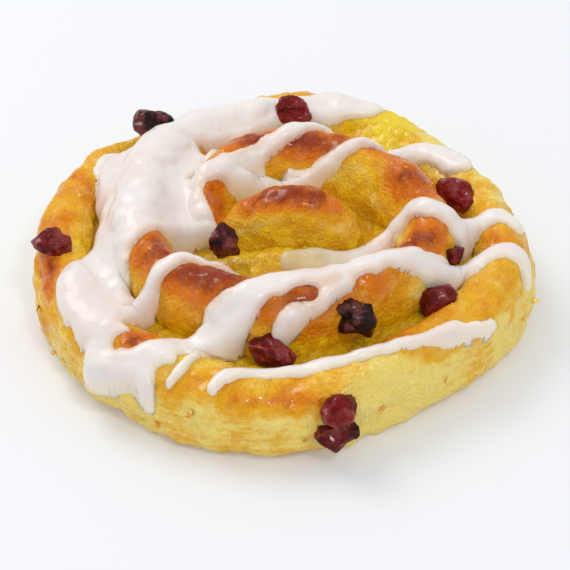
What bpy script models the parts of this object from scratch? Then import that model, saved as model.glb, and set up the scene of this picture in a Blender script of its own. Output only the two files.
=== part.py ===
"""An iced Danish swirl: a spiral of dough, the custard between its turns, raisins and poured icing.

Metres, +Z up. The pastry stands on z = 0 with its centre on the origin, and its front is towards -Y.
The strip of dough is wound clockwise, seen from above, out of a central lump. A place along it is
given in turns: 0 is at the left, 0.25 at the back, 0.5 at the right, 0.75 at the front, and so on.
"""

import math

import bmesh
import bpy
from mathutils import Euler, Matrix, Vector
from mathutils.bvhtree import BVHTree
from mathutils.geometry import intersect_point_line

MM = 0.001

# Driving sizes, in millimetres.
CENTRE = (-0.8, -1.2)  # middle of the spiral, which puts the middle of the whole on the origin
OUTLINE = (54.6, 52.6)  # half the pastry's width and depth
SEAM = (39.8, 35.4)  # the joint between the outer turn and the middle one
VALLEY = (23.6, 17.6)  # the inner side of the middle turn
START = (12.0, 8.0)  # where the strip leaves the central lump
# Bulges of the outline: how many there are round it, their share of the radius, and where one is.
BULGES = ((1, 0.04, 0.22), (2, 0.01, 0.38), (3, 0.01, 0.14), (4, 0.023, 0.03), (5, 0.016, 0.12))
STEP = 0.26  # the part of a turn in which the strip moves out by one ring
STRIP_ENDS = (-0.02, 2.17)  # the strip's two ends, in turns
END_LENGTH = 9.0  # over which the strip's ends round off
SEAM_GAP = 3.0  # room for custard between two turns
TAIL_GAP = 1.3  # the crease between the strip's tail and the turn inside it
CREST = (29.5, 28.0, 20.4)  # height at the start, on the middle turn and on the outer turn
CREST_LEAN = (0.6, 2.8)  # how much higher the back is than the centre, middle and outer turn
CREST_LUMPS = ((0.45, 31, 0), (0.35, 17, 1))  # waves along the crest: height, how tight, where
SHOULDER = 11.5  # height at which the strip's sides begin to round over
SHOULDER_DROP = 3.0  # how much lower that is on the outside of the whole pastry
SQUARENESS = 0.85  # under 1, a section's top is fuller than half an ellipse
FOOT = 2.6  # how far the strip's sides draw in at the bottom
FOOT_HEIGHT = 4.0
INNER_FOOT = 0.4  # the share of that on the side towards the centre
FULL_HEIGHT_HALF_WIDTH = 6.0  # a narrower strip is also lower
LEAST_FULLNESS = 0.35  # at the strip's very ends
SECTION_SPACING = 6.0  # along the strip
ARCH_STEPS = 6  # facets over the top of a section
LUMP_SIZE = (17.0, 8.0, 16.5)  # half-sizes of the central lump
LUMP_PLACE = (1.2, 2.0, 13.6)
CUSTARD_BASE = 1.0
CUSTARD_LEVEL = 15.0
CUSTARD_RISE = 0.035  # towards the back
CUSTARD_MIDDLE = (2.0, 24.0)  # height and reach of its rise in the middle
# Where it is banked up against the lump and where it brims over: x, y, half-sizes, height.
CUSTARD_BANKS = ((2.0, -8.0, 13.0, 5.0, 4.5), (24.0, 36.0, 13.0, 9.0, 5.0))
CUSTARD_REACH = 45.0
CUSTARD_GRID = 8
CLEARANCE = 0.4  # between any two pieces
ICING = 2.3  # thickness
ICING_GRAIN = 0.9  # the finest detail at which ribbons of icing run together
ICING_DETAIL = 0.036  # the share of that detail that is kept
ICING_SPACING = 2.6  # between the sections of a ribbon of icing, and across a wide one
ICING_REACH = 1.4  # icing lies on the highest point this close by
ICING_SINK = 0.1  # keeps its edge just above what it lies on
ICING_EDGE = 0.6  # thickness at the pool's edge and width at a ribbon's end, as shares
ICING_SMOOTHING = 3
LOOK_DOWN_FROM = 100.0  # a height above everything
WELD = 0.01  # points nearer to each other than this are one point
LUMP_FACETS = (20, 14)
RAISIN_FACETS = (9, 7)
RAISIN_FOLDS = ((3, 0.07), (5, 0.05))  # how many go round it, and their share of its radius
RAISIN_TAPER = 0.25  # how much narrower one end is than the other

# Raisins: centre, then length, width and thickness, then turns about X, Y and Z in degrees.
RAISINS = (
    ((-30.4, 35.6, 23.8), (9.8, 6.4, 5.6), (10, 8, 12)),
    ((-51.2, -3.8, 19.8), (8.6, 6.4, 5.6), (20, 12, -8)),
    ((2.4, 39.0, 24.8), (8.8, 5.8, 5.2), (18, 0, -20)),
    ((-13.2, -8.4, 23.8), (7.6, 6.0, 5.4), (20, 15, -25)),
    ((38.2, 12.0, 21.2), (9.6, 6.6, 5.6), (10, 20, -58)),
    ((36.4, -6.8, 19.4), (7.4, 5.6, 5.0), (0, 10, 80)),
    ((33.4, -19.6, 17.6), (8.6, 5.8, 5.2), (0, -20, 52)),
    ((15.2, -30.4, 21.4), (8.4, 7.2, 5.4), (48, 0, -30)),
    ((-3.0, -37.4, 17.2), (10.4, 5.8, 5.4), (20, 8, -32)),
    ((11.8, -50.8, 13.4), (8.6, 6.8, 5.4), (62, 0, 40)),
    ((11.4, -51.4, 7.2), (10.0, 6.2, 5.4), (80, 0, 8)),
)

# Icing: the pool's outline seen from above, then each ribbon's places and its width there.
POOL_OUTLINE = (
    *((-37, 31), (-43, 25), (-43, 14), (-41, 6), (-43, -4), (-48, -12), (-49.5, -19), (-44.5, -30)),
    *((-38, -36.6), (-32.5, -41), (-29.4, -46), (-27.4, -46), (-28, -41.4), (-32, -36), (-35, -28)),
    *((-31, -21), (-33, -14), (-29, -9), (-23, -4), (-15, 0), (-18, 8), (-13, 18), (-19, 26)),
    (-26, 36),
)
ICING_RIBBONS = (
    ((-38, -36, 10), (-30, -39, 7), (-23, -36.5, 6), (-17, -34.5, 7), (-12, -32, 8)),
    ((-31, -37, 5), (-27.5, -39.4, 3.4), (-24, -40.4, 2.2)),
    ((-33, 30, 8), (-25, 34, 12), (-14, 36, 11), (-3, 40.5, 8), (8, 43, 8), (20, 42, 6)),
    ((-22, 20, 7), (-12, 18, 5), (-4, 22.5, 4.6), (3, 27, 4.4), (9, 31, 3.6), (12, 34, 3)),
    ((-20, 13, 7), (-10, 15, 5.4), (-2, 17, 4), (6, 18.4, 3.4), (13.5, 20, 3.2), (20, 24, 3.6)),
    ((19, 23.4, 3.6), (26, 28, 4.2), (30.5, 28.6, 5), (34.5, 27, 5), (39, 23, 7)),
    ((-37, -27, 6), (-31.5, -24, 5), (-26, -20.4, 4.4), (-20, -18.4, 4.2), (-11, -19.4, 3.6)),
    ((-12, -19.5, 3.6), (-7, -20, 3)),
    ((-15, -33, 8), (-9, -30, 7.4), (-2, -26.6, 7), (4, -24.8, 6), (11, -23, 5.2), (18, -20.6, 5)),
    ((16, -21.4, 5), (25, -17.4, 5), (35, -13.4, 4.4), (42.7, -9, 4.4), (47, -6.5, 4.4), (51, -6.5, 4)),
    ((50, -6.5, 4), (52.2, -8, 3.2), (52.8, -10.5, 2.6)),
    ((13, -25.4, 3.2), (9, -28.4, 2.8), (4.5, -31.2, 2.6), (0, -33, 2.6), (-3, -35, 2.2)),
)
ICING_RIGHT = (
    ((1, -10, 4.6), (7, -10, 6.6), (14, -8, 6.4), (21, -2.4, 5), (27, 0, 5), (32, -2, 5), (38, -2, 5)),
    ((36, -2, 5), (43, 3, 5), (48, 4, 4.6), (51.5, 1.5, 3)),
)
ICING_FRONT = (
    ((44.6, -25.4, 1.8), (42.6, -27, 2), (39.5, -28.7, 2.4), (36, -29.8, 3)),
    ((36, -29.8, 3), (32, -32, 3.2), (24, -36, 3.4), (16, -40, 3.4), (6, -42, 3.2)),
    ((8, -42, 3.2), (-1, -43, 3.2), (-8, -44, 3.2), (-13, -46, 3.2), (-15, -48, 2.6)),
)
ICING_DRIP = (((-19, -39, 2.2), (-22, -43, 2.4), (-24, -45, 2)),)

MATERIALS = {
    "dough": ((0.72, 0.42, 0.13), 0.5),
    "custard": ((0.82, 0.58, 0.05), 0.3),
    "raisin": ((0.12, 0.01, 0.012), 0.35),
    "icing": ((0.86, 0.79, 0.72), 0.3),
}


def clear_scene():
    for obj in list(bpy.data.objects):
        bpy.data.objects.remove(obj, do_unlink=True)


def make_collection(name):
    found = bpy.data.collections.new(name)
    bpy.context.scene.collection.children.link(found)
    return found


def make_material(name):
    colour, roughness = MATERIALS[name]
    material = bpy.data.materials.new(name)
    material.use_nodes = True
    shader = material.node_tree.nodes["Principled BSDF"]
    shader.inputs["Base Color"].default_value = (*colour, 1.0)
    shader.inputs["Roughness"].default_value = roughness
    shader.inputs["Metallic"].default_value = 0.0
    return material


def object_from(bm, name, collection, material=None):
    """A named object from a bmesh whose lengths are in millimetres."""
    bmesh.ops.scale(bm, vec=(MM, MM, MM), verts=bm.verts)
    bmesh.ops.recalc_face_normals(bm, faces=bm.faces)
    mesh = bpy.data.meshes.new(name)
    bm.to_mesh(mesh)
    bm.free()
    mesh.shade_smooth()
    obj = bpy.data.objects.new(name, mesh)
    collection.objects.link(obj)
    if material:
        mesh.materials.append(material)
    return obj


def hidden(helper):
    helper.hide_render = True
    helper.display_type = "WIRE"
    return helper


def add_boolean(obj, operation, other):
    modifier = obj.modifiers.new(f"{operation.lower()}_{other.name}", "BOOLEAN")
    modifier.operation = operation
    modifier.object = other
    modifier.solver = "EXACT"


def loft(rings):
    """A bmesh of closed rings of points, joined one to the next and shut at both ends."""
    bm = bmesh.new()
    rings = [[bm.verts.new(point) for point in ring] for ring in rings]
    for ring, following in zip(rings, rings[1:]):
        for i, corner in enumerate(ring):
            j = (i + 1) % len(ring)
            bm.faces.new((corner, ring[j], following[j], following[i]))
    bm.faces.new(rings[0])
    bm.faces.new(rings[-1])
    bmesh.ops.triangulate(bm, faces=bm.faces)
    return bm


# The spiral of dough


def smooth(x):
    x = min(max(x, 0.0), 1.0)
    return x * x * (3 - 2 * x)


def bearing(turns):
    """The direction from the centre to this place on the spiral."""
    angle = math.pi - 2 * math.pi * turns
    return math.cos(angle), math.sin(angle)


def ring_radius(half_sizes, turns):
    """The radius of an ellipse with bulges, which fade towards the centre."""
    x, y = bearing(turns)
    bulge = sum(share * math.cos(2 * math.pi * count * (turns - at)) for count, share, at in BULGES)
    bulge *= half_sizes[0] / OUTLINE[0]
    return (1 + bulge) / math.hypot(x / half_sizes[0], y / half_sizes[1])


def seam_radius(turns):
    """The radius of the line between two turns: a ring for each turn, with a step between rings."""
    rings = (START, VALLEY, SEAM, OUTLINE, OUTLINE)
    ring = min(max(int(turns), 0), 3)
    share = smooth((turns - ring) / STEP)
    inner = ring_radius(rings[ring], turns)
    outer = ring_radius(rings[ring + 1], turns)
    return inner + (outer - inner) * share


def crest_height(turns):
    """The height of the strip's top, which is lumpy and rises towards the back."""
    out = smooth((turns - 1) / STEP)
    start = CREST[0] + (CREST[1] - CREST[0]) * smooth(turns / STEP)
    level = start + (CREST[2] - CREST[1]) * out
    lean = CREST_LEAN[0] + (CREST_LEAN[1] - CREST_LEAN[0]) * out
    lumps = sum(height * math.sin(pace * turns + at) for height, pace, at in CREST_LUMPS)
    return level + lean * bearing(turns)[1] + lumps


def fullness(turns):
    """The section's size, which is 1 except where the strip's ends round off."""
    middle = (seam_radius(turns) + seam_radius(turns + 1)) / 2
    to_end = min(turns - STRIP_ENDS[0], STRIP_ENDS[1] - turns) * 2 * math.pi * middle
    share = min(to_end / END_LENGTH, 1.0)
    return max(LEAST_FULLNESS, math.sqrt(share * (2 - share)))


def strip_section(turns, swell):
    """(radius, height) of the points round the strip's section, from the inner foot to the outer one."""
    outermost = smooth((turns - 1) / STEP)
    tail = smooth((turns - 2) / (STEP / 2))
    gap = SEAM_GAP + (TAIL_GAP - SEAM_GAP) * tail
    inner = seam_radius(turns) + gap / 2 * (1 + tail)
    outer = seam_radius(turns + 1) - gap / 2 * (1 - outermost)
    full = fullness(turns)
    middle = (inner + outer) / 2
    half = (outer - inner) / 2 * full + swell
    rise = (crest_height(turns) - SHOULDER) * min(1.0, half / FULL_HEIGHT_HALF_WIDTH)
    top = SHOULDER + rise * full + swell
    outer_shoulder = SHOULDER - SHOULDER_DROP * outermost
    foot = min(FOOT, half / 2)
    points = [(middle - half + foot * INNER_FOOT, -swell), (middle - half, FOOT_HEIGHT)]
    for step in range(ARCH_STEPS + 1):
        angle = math.pi * step / ARCH_STEPS
        across = -math.cos(angle)
        low = SHOULDER if across < 0 else outer_shoulder
        up = (top - low) * math.sin(angle) ** SQUARENESS
        points.append((middle + half * across, low + up))
    points += [(middle + half, FOOT_HEIGHT), (middle + half - foot, -swell)]
    return points


def strip_places():
    """Places along the strip, evenly spaced in length."""
    places = [STRIP_ENDS[0]]
    while places[-1] < STRIP_ENDS[1]:
        middle = (seam_radius(places[-1]) + seam_radius(places[-1] + 1)) / 2
        places.append(places[-1] + SECTION_SPACING / (2 * math.pi * middle))
    places[-1] = STRIP_ENDS[1]
    return places


def strip_mesh(swell=0.0):
    """The strip, lofted through sections that change in width and height."""
    rings = []
    for turns in strip_places():
        x, y = bearing(turns)
        section = strip_section(turns, swell)
        rings.append([(CENTRE[0] + r * x, CENTRE[1] + r * y, z) for r, z in section])
    return loft(rings)


def lump_mesh(swell=0.0):
    """The central lump that the strip grows out of."""
    bm = bmesh.new()
    around, along = LUMP_FACETS
    bmesh.ops.create_uvsphere(bm, u_segments=around, v_segments=along, radius=1.0)
    bmesh.ops.scale(bm, vec=[size + swell for size in LUMP_SIZE], verts=bm.verts)
    bmesh.ops.translate(bm, vec=LUMP_PLACE, verts=bm.verts)
    for vert in bm.verts:
        vert.co.z = max(vert.co.z, -swell)
    bmesh.ops.remove_doubles(bm, verts=bm.verts, dist=WELD)
    return bm


def make_dough(parts, helpers, material):
    dough = object_from(strip_mesh(), "dough", parts, material)
    add_boolean(dough, "UNION", hidden(object_from(lump_mesh(), "lump", helpers)))
    return dough


# The custard


def custard_level(x, y):
    """The height of the custard: banked up against the lump, and brimming over at the back right."""
    height, reach = CUSTARD_MIDDLE
    level = CUSTARD_LEVEL + CUSTARD_RISE * y + height * math.exp(-((math.hypot(x, y) / reach) ** 4))
    for at_x, at_y, half_width, half_depth, height in CUSTARD_BANKS:
        away = ((x - at_x) / half_width) ** 2 + ((y - at_y) / half_depth) ** 2
        level += height * math.exp(-away)
    return level


def custard_mesh(swell=0.0):
    """A round block of custard, before the dough is taken out of it."""
    bm = bmesh.new()
    bmesh.ops.create_grid(
        bm, x_segments=CUSTARD_GRID, y_segments=CUSTARD_GRID, size=CUSTARD_REACH + swell
    )
    for vert in bm.verts:
        if vert.co.length > 0:
            vert.co *= max(abs(vert.co.x), abs(vert.co.y)) / vert.co.length
        vert.co.z = custard_level(vert.co.x, vert.co.y) + swell
    made = bmesh.ops.extrude_face_region(bm, geom=bm.faces[:], use_keep_orig=True)
    for vert in (g for g in made["geom"] if isinstance(g, bmesh.types.BMVert)):
        vert.co.z = CUSTARD_BASE - swell
    bmesh.ops.triangulate(bm, faces=bm.faces)
    return bm


# The raisins


def raisin_mesh(number, swell=0.0):
    """A shrivelled raisin: an egg with folds along it."""
    centre, size, turned = RAISINS[number - 1]
    bm = bmesh.new()
    around, along = RAISIN_FACETS
    bmesh.ops.create_uvsphere(bm, u_segments=around, v_segments=along, radius=0.5)
    bmesh.ops.rotate(bm, matrix=Matrix.Rotation(math.pi / 2, 3, "Y"), verts=bm.verts)
    for vert in bm.verts:
        angle = math.atan2(vert.co.z, vert.co.y)
        fold = 1 + sum(deep * math.cos(count * angle + number) for count, deep in RAISIN_FOLDS)
        blunt = 1 - RAISIN_TAPER * vert.co.x
        vert.co.y *= fold * blunt
        vert.co.z *= fold * blunt
    bmesh.ops.scale(bm, vec=[length + 2 * swell for length in size], verts=bm.verts)
    turn = Euler([math.radians(degrees) for degrees in turned]).to_matrix()
    bmesh.ops.rotate(bm, matrix=turn, verts=bm.verts)
    bmesh.ops.translate(bm, vec=centre, verts=bm.verts)
    return bm


# The icing


def curve_through(places):
    """Points on a smooth curve through the places, evenly spread between each two."""
    ends = [2 * places[0] - places[1], *places, 2 * places[-1] - places[-2]]
    points = []
    for a, b, c, d in zip(ends, ends[1:], ends[2:], ends[3:]):
        count = max(1, round((c - b).to_2d().length / ICING_SPACING))
        for t in (step / count for step in range(count)):
            bend = (2 * a - 5 * b + 4 * c - d) * t**2 + (3 * b - a - 3 * c + d) * t**3
            points.append(b + ((c - a) * t + bend) / 2)
    return [*points, places[-1]]


def surface_height(surfaces, x, y):
    """The highest point of the surfaces here and close by, in millimetres."""
    heights = []
    near = ICING_REACH
    for dx, dy in ((0, 0), (near, 0), (-near, 0), (0, near), (0, -near)):
        start = Vector((x + dx, y + dy, LOOK_DOWN_FROM)) * MM
        hits = [surface.ray_cast(start, Vector((0, 0, -1)))[0] for surface in surfaces]
        heights += [hit.z / MM for hit in hits if hit]
    return max(heights, default=2 * ICING)


def ribbon_mesh(places, surfaces):
    """A ribbon of icing that follows the surfaces, with its underside sunk below them."""
    points = curve_through([Vector(place) for place in places])
    steps = max(4, 2 * round(max(point.z for point in points) / ICING_SPACING / 2))
    rings = []
    for i, point in enumerate(points):
        along = (points[min(i + 1, len(points) - 1)] - points[max(i - 1, 0)]).to_2d().normalized()
        end = ICING_EDGE if i in (0, len(points) - 1) else 1.0
        top = []
        under = []
        for step in range(steps + 1):
            across = 2 * step / steps - 1
            offset = across * point.z / 2 * end
            x = point.x - along.y * offset
            y = point.y + along.x * offset
            z = surface_height(surfaces, x, y)
            top.append((x, y, z + ICING * (1 - abs(across) ** 3) * end + ICING_SINK))
            under.append((x, y, z - ICING))
        rings.append(top + under[::-1])
    return loft(rings)


def nearest_on(outline, point):
    """The nearest point of a closed outline."""
    found = []
    for a, b in zip(outline, [*outline[1:], outline[0]]):
        nearest, share = intersect_point_line(point, a, b)
        found.append(nearest if 0 <= share <= 1 else (a if share < 0 else b))
    return min(found, key=lambda candidate: (candidate - point).length)


def is_inside(outline, point):
    crossings = 0
    for a, b in zip(outline, [*outline[1:], outline[0]]):
        if (a.y > point.y) != (b.y > point.y):
            crossings += point.x < a.x + (b.x - a.x) * (point.y - a.y) / (b.y - a.y)
    return crossings % 2 == 1


def pool_mesh(surfaces):
    """The pool of icing: a grid pulled onto the pool's outline and laid on the surfaces."""
    outline = [Vector(place) for place in POOL_OUTLINE]
    reach = OUTLINE[0] + ICING_SPACING
    bm = bmesh.new()
    segments = round(2 * reach / ICING_SPACING)
    bmesh.ops.create_grid(bm, x_segments=segments, y_segments=segments, size=reach)
    outside = []
    depths = {}
    for vert in bm.verts:
        place = vert.co.to_2d()
        nearest = nearest_on(outline, place)
        depth = (nearest - place).length
        if depth < ICING_SPACING / 2:
            vert.co.xy = nearest
            depth = 0.0
        elif not is_inside(outline, place):
            outside.append(vert)
        depths[vert] = min(depth / ICING_SPACING, 1.0)
    bmesh.ops.delete(bm, geom=outside, context="VERTS")
    tops = bm.verts[:]
    made = bmesh.ops.extrude_face_region(bm, geom=bm.faces[:], use_keep_orig=True)
    for vert in (g for g in made["geom"] if isinstance(g, bmesh.types.BMVert)):
        vert.co.z = surface_height(surfaces, vert.co.x, vert.co.y) - ICING
    for vert in tops:
        thickness = ICING * (ICING_EDGE + (1 - ICING_EDGE) * depths[vert])
        vert.co.z = surface_height(surfaces, vert.co.x, vert.co.y) + thickness
    bmesh.ops.triangulate(bm, faces=bm.faces)
    return bm


def make_icing(name, pieces, parts, material, cutters):
    """Icing that has run together, with what it lies on cut out of it."""
    together = bmesh.new()
    for bm in pieces:
        piece = bpy.data.meshes.new(name)
        bm.to_mesh(piece)
        bm.free()
        together.from_mesh(piece)
        bpy.data.meshes.remove(piece)
    icing = object_from(together, name, parts, material)
    fuse = icing.modifiers.new("fuse", "REMESH")
    fuse.mode = "VOXEL"
    fuse.voxel_size = ICING_GRAIN * MM
    fuse.use_smooth_shade = True
    settle = icing.modifiers.new("settle", "SMOOTH")
    settle.iterations = ICING_SMOOTHING
    coarsen = icing.modifiers.new("coarsen", "DECIMATE")
    coarsen.ratio = ICING_DETAIL
    keep_largest_piece(icing)
    for cutter in cutters:
        add_boolean(icing, "DIFFERENCE", cutter)
    keep_largest_piece(icing)


def keep_largest_piece(obj):
    """Settles the object's mesh and drops any crumb that the cuts left beside it."""
    graph = bpy.context.evaluated_depsgraph_get()
    mesh = bpy.data.meshes.new_from_object(obj.evaluated_get(graph))
    obj.modifiers.clear()
    obj.data = mesh
    bm = bmesh.new()
    bm.from_mesh(mesh)
    unseen = set(bm.verts)
    pieces = []
    while unseen:
        piece = set()
        edge = {unseen.pop()}
        while edge:
            piece |= edge
            edge = {e.other_vert(v) for v in edge for e in v.link_edges} - piece
        unseen -= piece
        pieces.append(piece)
    pieces.sort(key=len)
    crumbs = [vert for piece in pieces[:-1] for vert in piece]
    bmesh.ops.delete(bm, geom=crumbs, context="VERTS")
    bm.to_mesh(mesh)
    bm.free()


def build():
    clear_scene()
    parts = make_collection("danish_pastry")
    helpers = make_collection("helpers")
    materials = {name: make_material(name) for name in MATERIALS}

    dough = make_dough(parts, helpers, materials["dough"])
    dough_cutters = [
        hidden(object_from(strip_mesh(CLEARANCE), "strip_cutter", helpers)),
        hidden(object_from(lump_mesh(CLEARANCE), "lump_cutter", helpers)),
    ]
    custard = object_from(custard_mesh(), "custard", parts, materials["custard"])
    for cutter in dough_cutters:
        add_boolean(custard, "DIFFERENCE", cutter)
    keep_largest_piece(custard)
    bed_cutters = [
        *dough_cutters,
        hidden(object_from(custard_mesh(CLEARANCE), "custard_cutter", helpers)),
    ]

    raisin_cutters = []
    for number in range(1, len(RAISINS) + 1):
        name = f"raisin_{number:02d}"
        raisin = object_from(raisin_mesh(number), name, parts, materials["raisin"])
        for cutter in (*bed_cutters, *raisin_cutters):
            add_boolean(raisin, "DIFFERENCE", cutter)
        keep_largest_piece(raisin)
        grown = object_from(raisin_mesh(number, CLEARANCE), f"{name}_cutter", helpers)
        raisin_cutters.append(hidden(grown))

    graph = bpy.context.evaluated_depsgraph_get()
    surfaces = [BVHTree.FromObject(obj, graph) for obj in (dough, custard)]
    for name, ribbons in (
        ("icing", ICING_RIBBONS),
        ("icing_right", ICING_RIGHT),
        ("icing_front", ICING_FRONT),
        ("icing_drip", ICING_DRIP),
    ):
        pieces = [ribbon_mesh(places, surfaces) for places in ribbons]
        if name == "icing":
            pieces.insert(0, pool_mesh(surfaces))
        cutters = (*bed_cutters, *raisin_cutters)
        make_icing(name, pieces, parts, materials["icing"], cutters)


build()
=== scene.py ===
"""The looks of an iced Danish swirl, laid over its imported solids.

Metres, +Z up. The pastry stands on z = 0 with its centre on the origin and its front towards -Y.
The tables below are in millimetres. A place along the strip of dough is given in turns: 0 is at
the left, 0.25 at the back, 0.5 at the right, 0.75 at the front, and so on outwards.
"""

import math

import bmesh
import bpy
import numpy as np
from bpy.props import FloatProperty, FloatVectorProperty, IntProperty, PointerProperty
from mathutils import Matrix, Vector, noise


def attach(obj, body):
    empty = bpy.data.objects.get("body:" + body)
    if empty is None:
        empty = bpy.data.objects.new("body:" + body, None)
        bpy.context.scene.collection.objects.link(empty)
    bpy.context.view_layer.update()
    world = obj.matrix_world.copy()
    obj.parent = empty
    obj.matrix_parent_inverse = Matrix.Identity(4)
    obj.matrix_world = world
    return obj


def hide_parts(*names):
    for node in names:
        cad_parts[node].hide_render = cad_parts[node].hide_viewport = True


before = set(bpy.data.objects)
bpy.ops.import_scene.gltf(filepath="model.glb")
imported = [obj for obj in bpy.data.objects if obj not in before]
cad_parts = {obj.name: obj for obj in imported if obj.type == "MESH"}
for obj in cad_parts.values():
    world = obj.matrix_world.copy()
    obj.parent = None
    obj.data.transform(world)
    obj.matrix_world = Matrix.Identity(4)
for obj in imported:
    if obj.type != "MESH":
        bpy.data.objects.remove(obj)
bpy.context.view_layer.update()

bl_info = {
    "name": "Iced Danish Swirl",
    "version": (1, 0, 0),
    "blender": (4, 5, 0),
    "location": "View3D > Sidebar > Danish Swirl",
    "description": "Builds the dough, custard, raisins, icing and crumbs of an iced Danish swirl",
    "category": "Add Mesh",
}

MM = 0.001

# The spiral of dough, with the same sizes as the solid.
CENTRE = (-0.8, -1.2)
OUTLINE = (54.6, 52.6)  # half the pastry's width and depth
SEAM = (39.8, 35.4)  # the joint between the outer turn and the middle one
VALLEY = (23.6, 17.6)  # the inner side of the middle turn
START = (12.0, 8.0)  # where the strip leaves the central lump
# Bulges of the outline: how many there are round it, their share of the radius, and where one is.
BULGES = ((1, 0.04, 0.22), (2, 0.01, 0.38), (3, 0.01, 0.14), (4, 0.023, 0.03), (5, 0.016, 0.12))
STEP = 0.26  # the part of a turn in which the strip moves out by one ring
STRIP_ENDS = (-0.02, 2.17)  # the strip's two ends, in turns
END_LENGTH = 9.0  # over which the strip's ends round off
SEAM_GAP = 3.0  # room for custard between two turns
TAIL_GAP = 1.3  # the crease between the strip's tail and the turn inside it
CREST = (29.5, 28.0, 20.4)  # height at the start, on the middle turn and on the outer turn
CREST_LEAN = (0.6, 2.8)  # how much higher the back is than the centre, middle and outer turn
CREST_LUMPS = ((0.45, 31, 0), (0.35, 17, 1))  # waves along the crest: height, how tight, where
SHOULDER = 11.5  # height at which the strip's sides begin to round over
SHOULDER_DROP = 3.0  # how much lower that is on the outside of the whole pastry
SQUARENESS = 0.85  # under 1, a section's top is fuller than half an ellipse
FOOT = 2.6  # how far the strip's sides draw in at the bottom
FOOT_HEIGHT = 4.0
INNER_FOOT = 0.4  # the share of that on the side towards the centre
FULL_HEIGHT_HALF_WIDTH = 6.0  # a narrower strip is also lower
LEAST_FULLNESS = 0.35  # at the strip's very ends
LUMP_SIZE = (17.0, 8.0, 16.5)  # half-sizes of the central lump
LUMP_PLACE = (1.2, 2.0, 13.6)
LUMP_FACETS = (64, 40)
STRIP_SECTIONS = 760
SIDE_STEPS = 7
CREST_STEPS = 36

# Where the dough is browner or paler than its height makes it, and where custard has soaked in;
# in a few patches the browning is painted light or painted shade.
# x, y, half-width, half-depth, browning, soaking.
PATCHES = (
    (1.1, -1.7, 15.6, 3.2, 0.5, -0.4),
    (1.1, 1.8, 14.4, 3.4, 0.35, 0),
    (2.2, -6.4, 15.5, 5.4, -0.9, 1.5),
    (9.1, 23.2, 11.1, 3.6, 0.45, 0),
    (0.0, 17.6, 5.6, 2.4, 0.4, 0),
    (-7.9, 24.5, 10.0, 3.6, 0.45, 0),
    (-15.1, 6.1, 3.6, 5.9, 0.6, 0),
    (27.8, 9.7, 7.1, 8.3, 0.35, 0),
    (29.3, 18.3, 5.6, 3.0, 0.4, 0),
    (27.6, -10.2, 8.4, 4.1, 0.45, 0),
    (24.6, -24.7, 8.9, 3.0, 0.3, 0),
    (5.3, -29.4, 3.0, 2.4, 0.7, 0),
    (-13.9, -22.7, 9.3, 3.0, 0.45, 0),
    (-25.9, -15.5, 6.7, 7.1, 0.4, 0),
    (-31.8, -35.7, 3.6, 3.0, 0.8, 0),
    (-18.2, -27.7, 11.1, 5.3, 0.35, 0.2),
    # Browner here as painted shade, on the middle turn's front face that looks into the groove.
    (9.6, -32.4, 22.0, 5.0, 0.5, 0.3),
    (-50.2, 3.7, 4.4, 8.9, 0.2, 0),
    (-42.5, -3.0, 3.8, 6.5, -0.5, 1.1),
    (-45.2, 15.6, 4.4, 4.4, 0.3, 0),
    (-23.2, 40.3, 8.9, 3.6, 0.25, 0),
    # Less brown here as painted light, on the outer turn at the right, where the light falls.
    (45.3, -2.9, 5.6, 4.7, 0.3, 0),
    (43.4, -17.6, 8.9, 8.9, 0.0, 0),
    (-21.8, -39.5, 8.0, 3.4, -0.3, 0.9),
    (0.0, -50.4, 14.0, 3.6, 0.22, 0),
    (-24.0, -46.3, 8.9, 4.4, 0.1, 0),
    (-52.3, -10.5, 2.2, 9.5, 0.6, 0),
    (-43.2, -31.9, 5.8, 5.9, 0.1, 0),
    (27.4, -44.0, 15.6, 8.0, -0.4, 0),
    # Paler here as painted light, at the back right, where the light falls.
    (37.9, 28.7, 10.5, 10.5, -0.45, 0.1),
    (27.0, 39.5, 8.5, 5.0, -0.6, 1.4),
    (48.0, 14.0, 6.0, 16.0, -0.16, 0),
    (13.5, 13.1, 8.9, 5.3, -0.5, 0.9),
)

# The custard.
CUSTARD_BASE = 1.0
CUSTARD_LEVEL = 15.0
CUSTARD_RISE = 0.035  # towards the back
CUSTARD_MIDDLE = (2.0, 24.0)  # height and reach of its rise in the middle
# Where it is banked up against the lump and where it brims over: x, y, half-sizes, height.
CUSTARD_BANKS = ((2.0, -8.0, 13.0, 5.0, 4.5), (26.0, 38.0, 13.0, 9.0, 6.6))
CUSTARD_REACH = 45.0
# Where it is a brighter yellow: x, y, half-width, half-depth, how much.
CUSTARD_BRIGHT = ((26.0, 40.0, 9.0, 9.0, 1.0), (-21.0, -38.0, 9.0, 5.0, 0.6))
BRIM = (27.0, 39.5, 8.5, 5.0)  # x, y, half-width, half-depth of the custard smeared on the dough
CURDS_FROM = 8.0  # the height above which its surface is lumpy
HOLLOW = (18.0, 8.5, 3.2, 5.0, 3.5)  # x, y, half-width, half-depth, depth of a hollow in it

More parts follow.
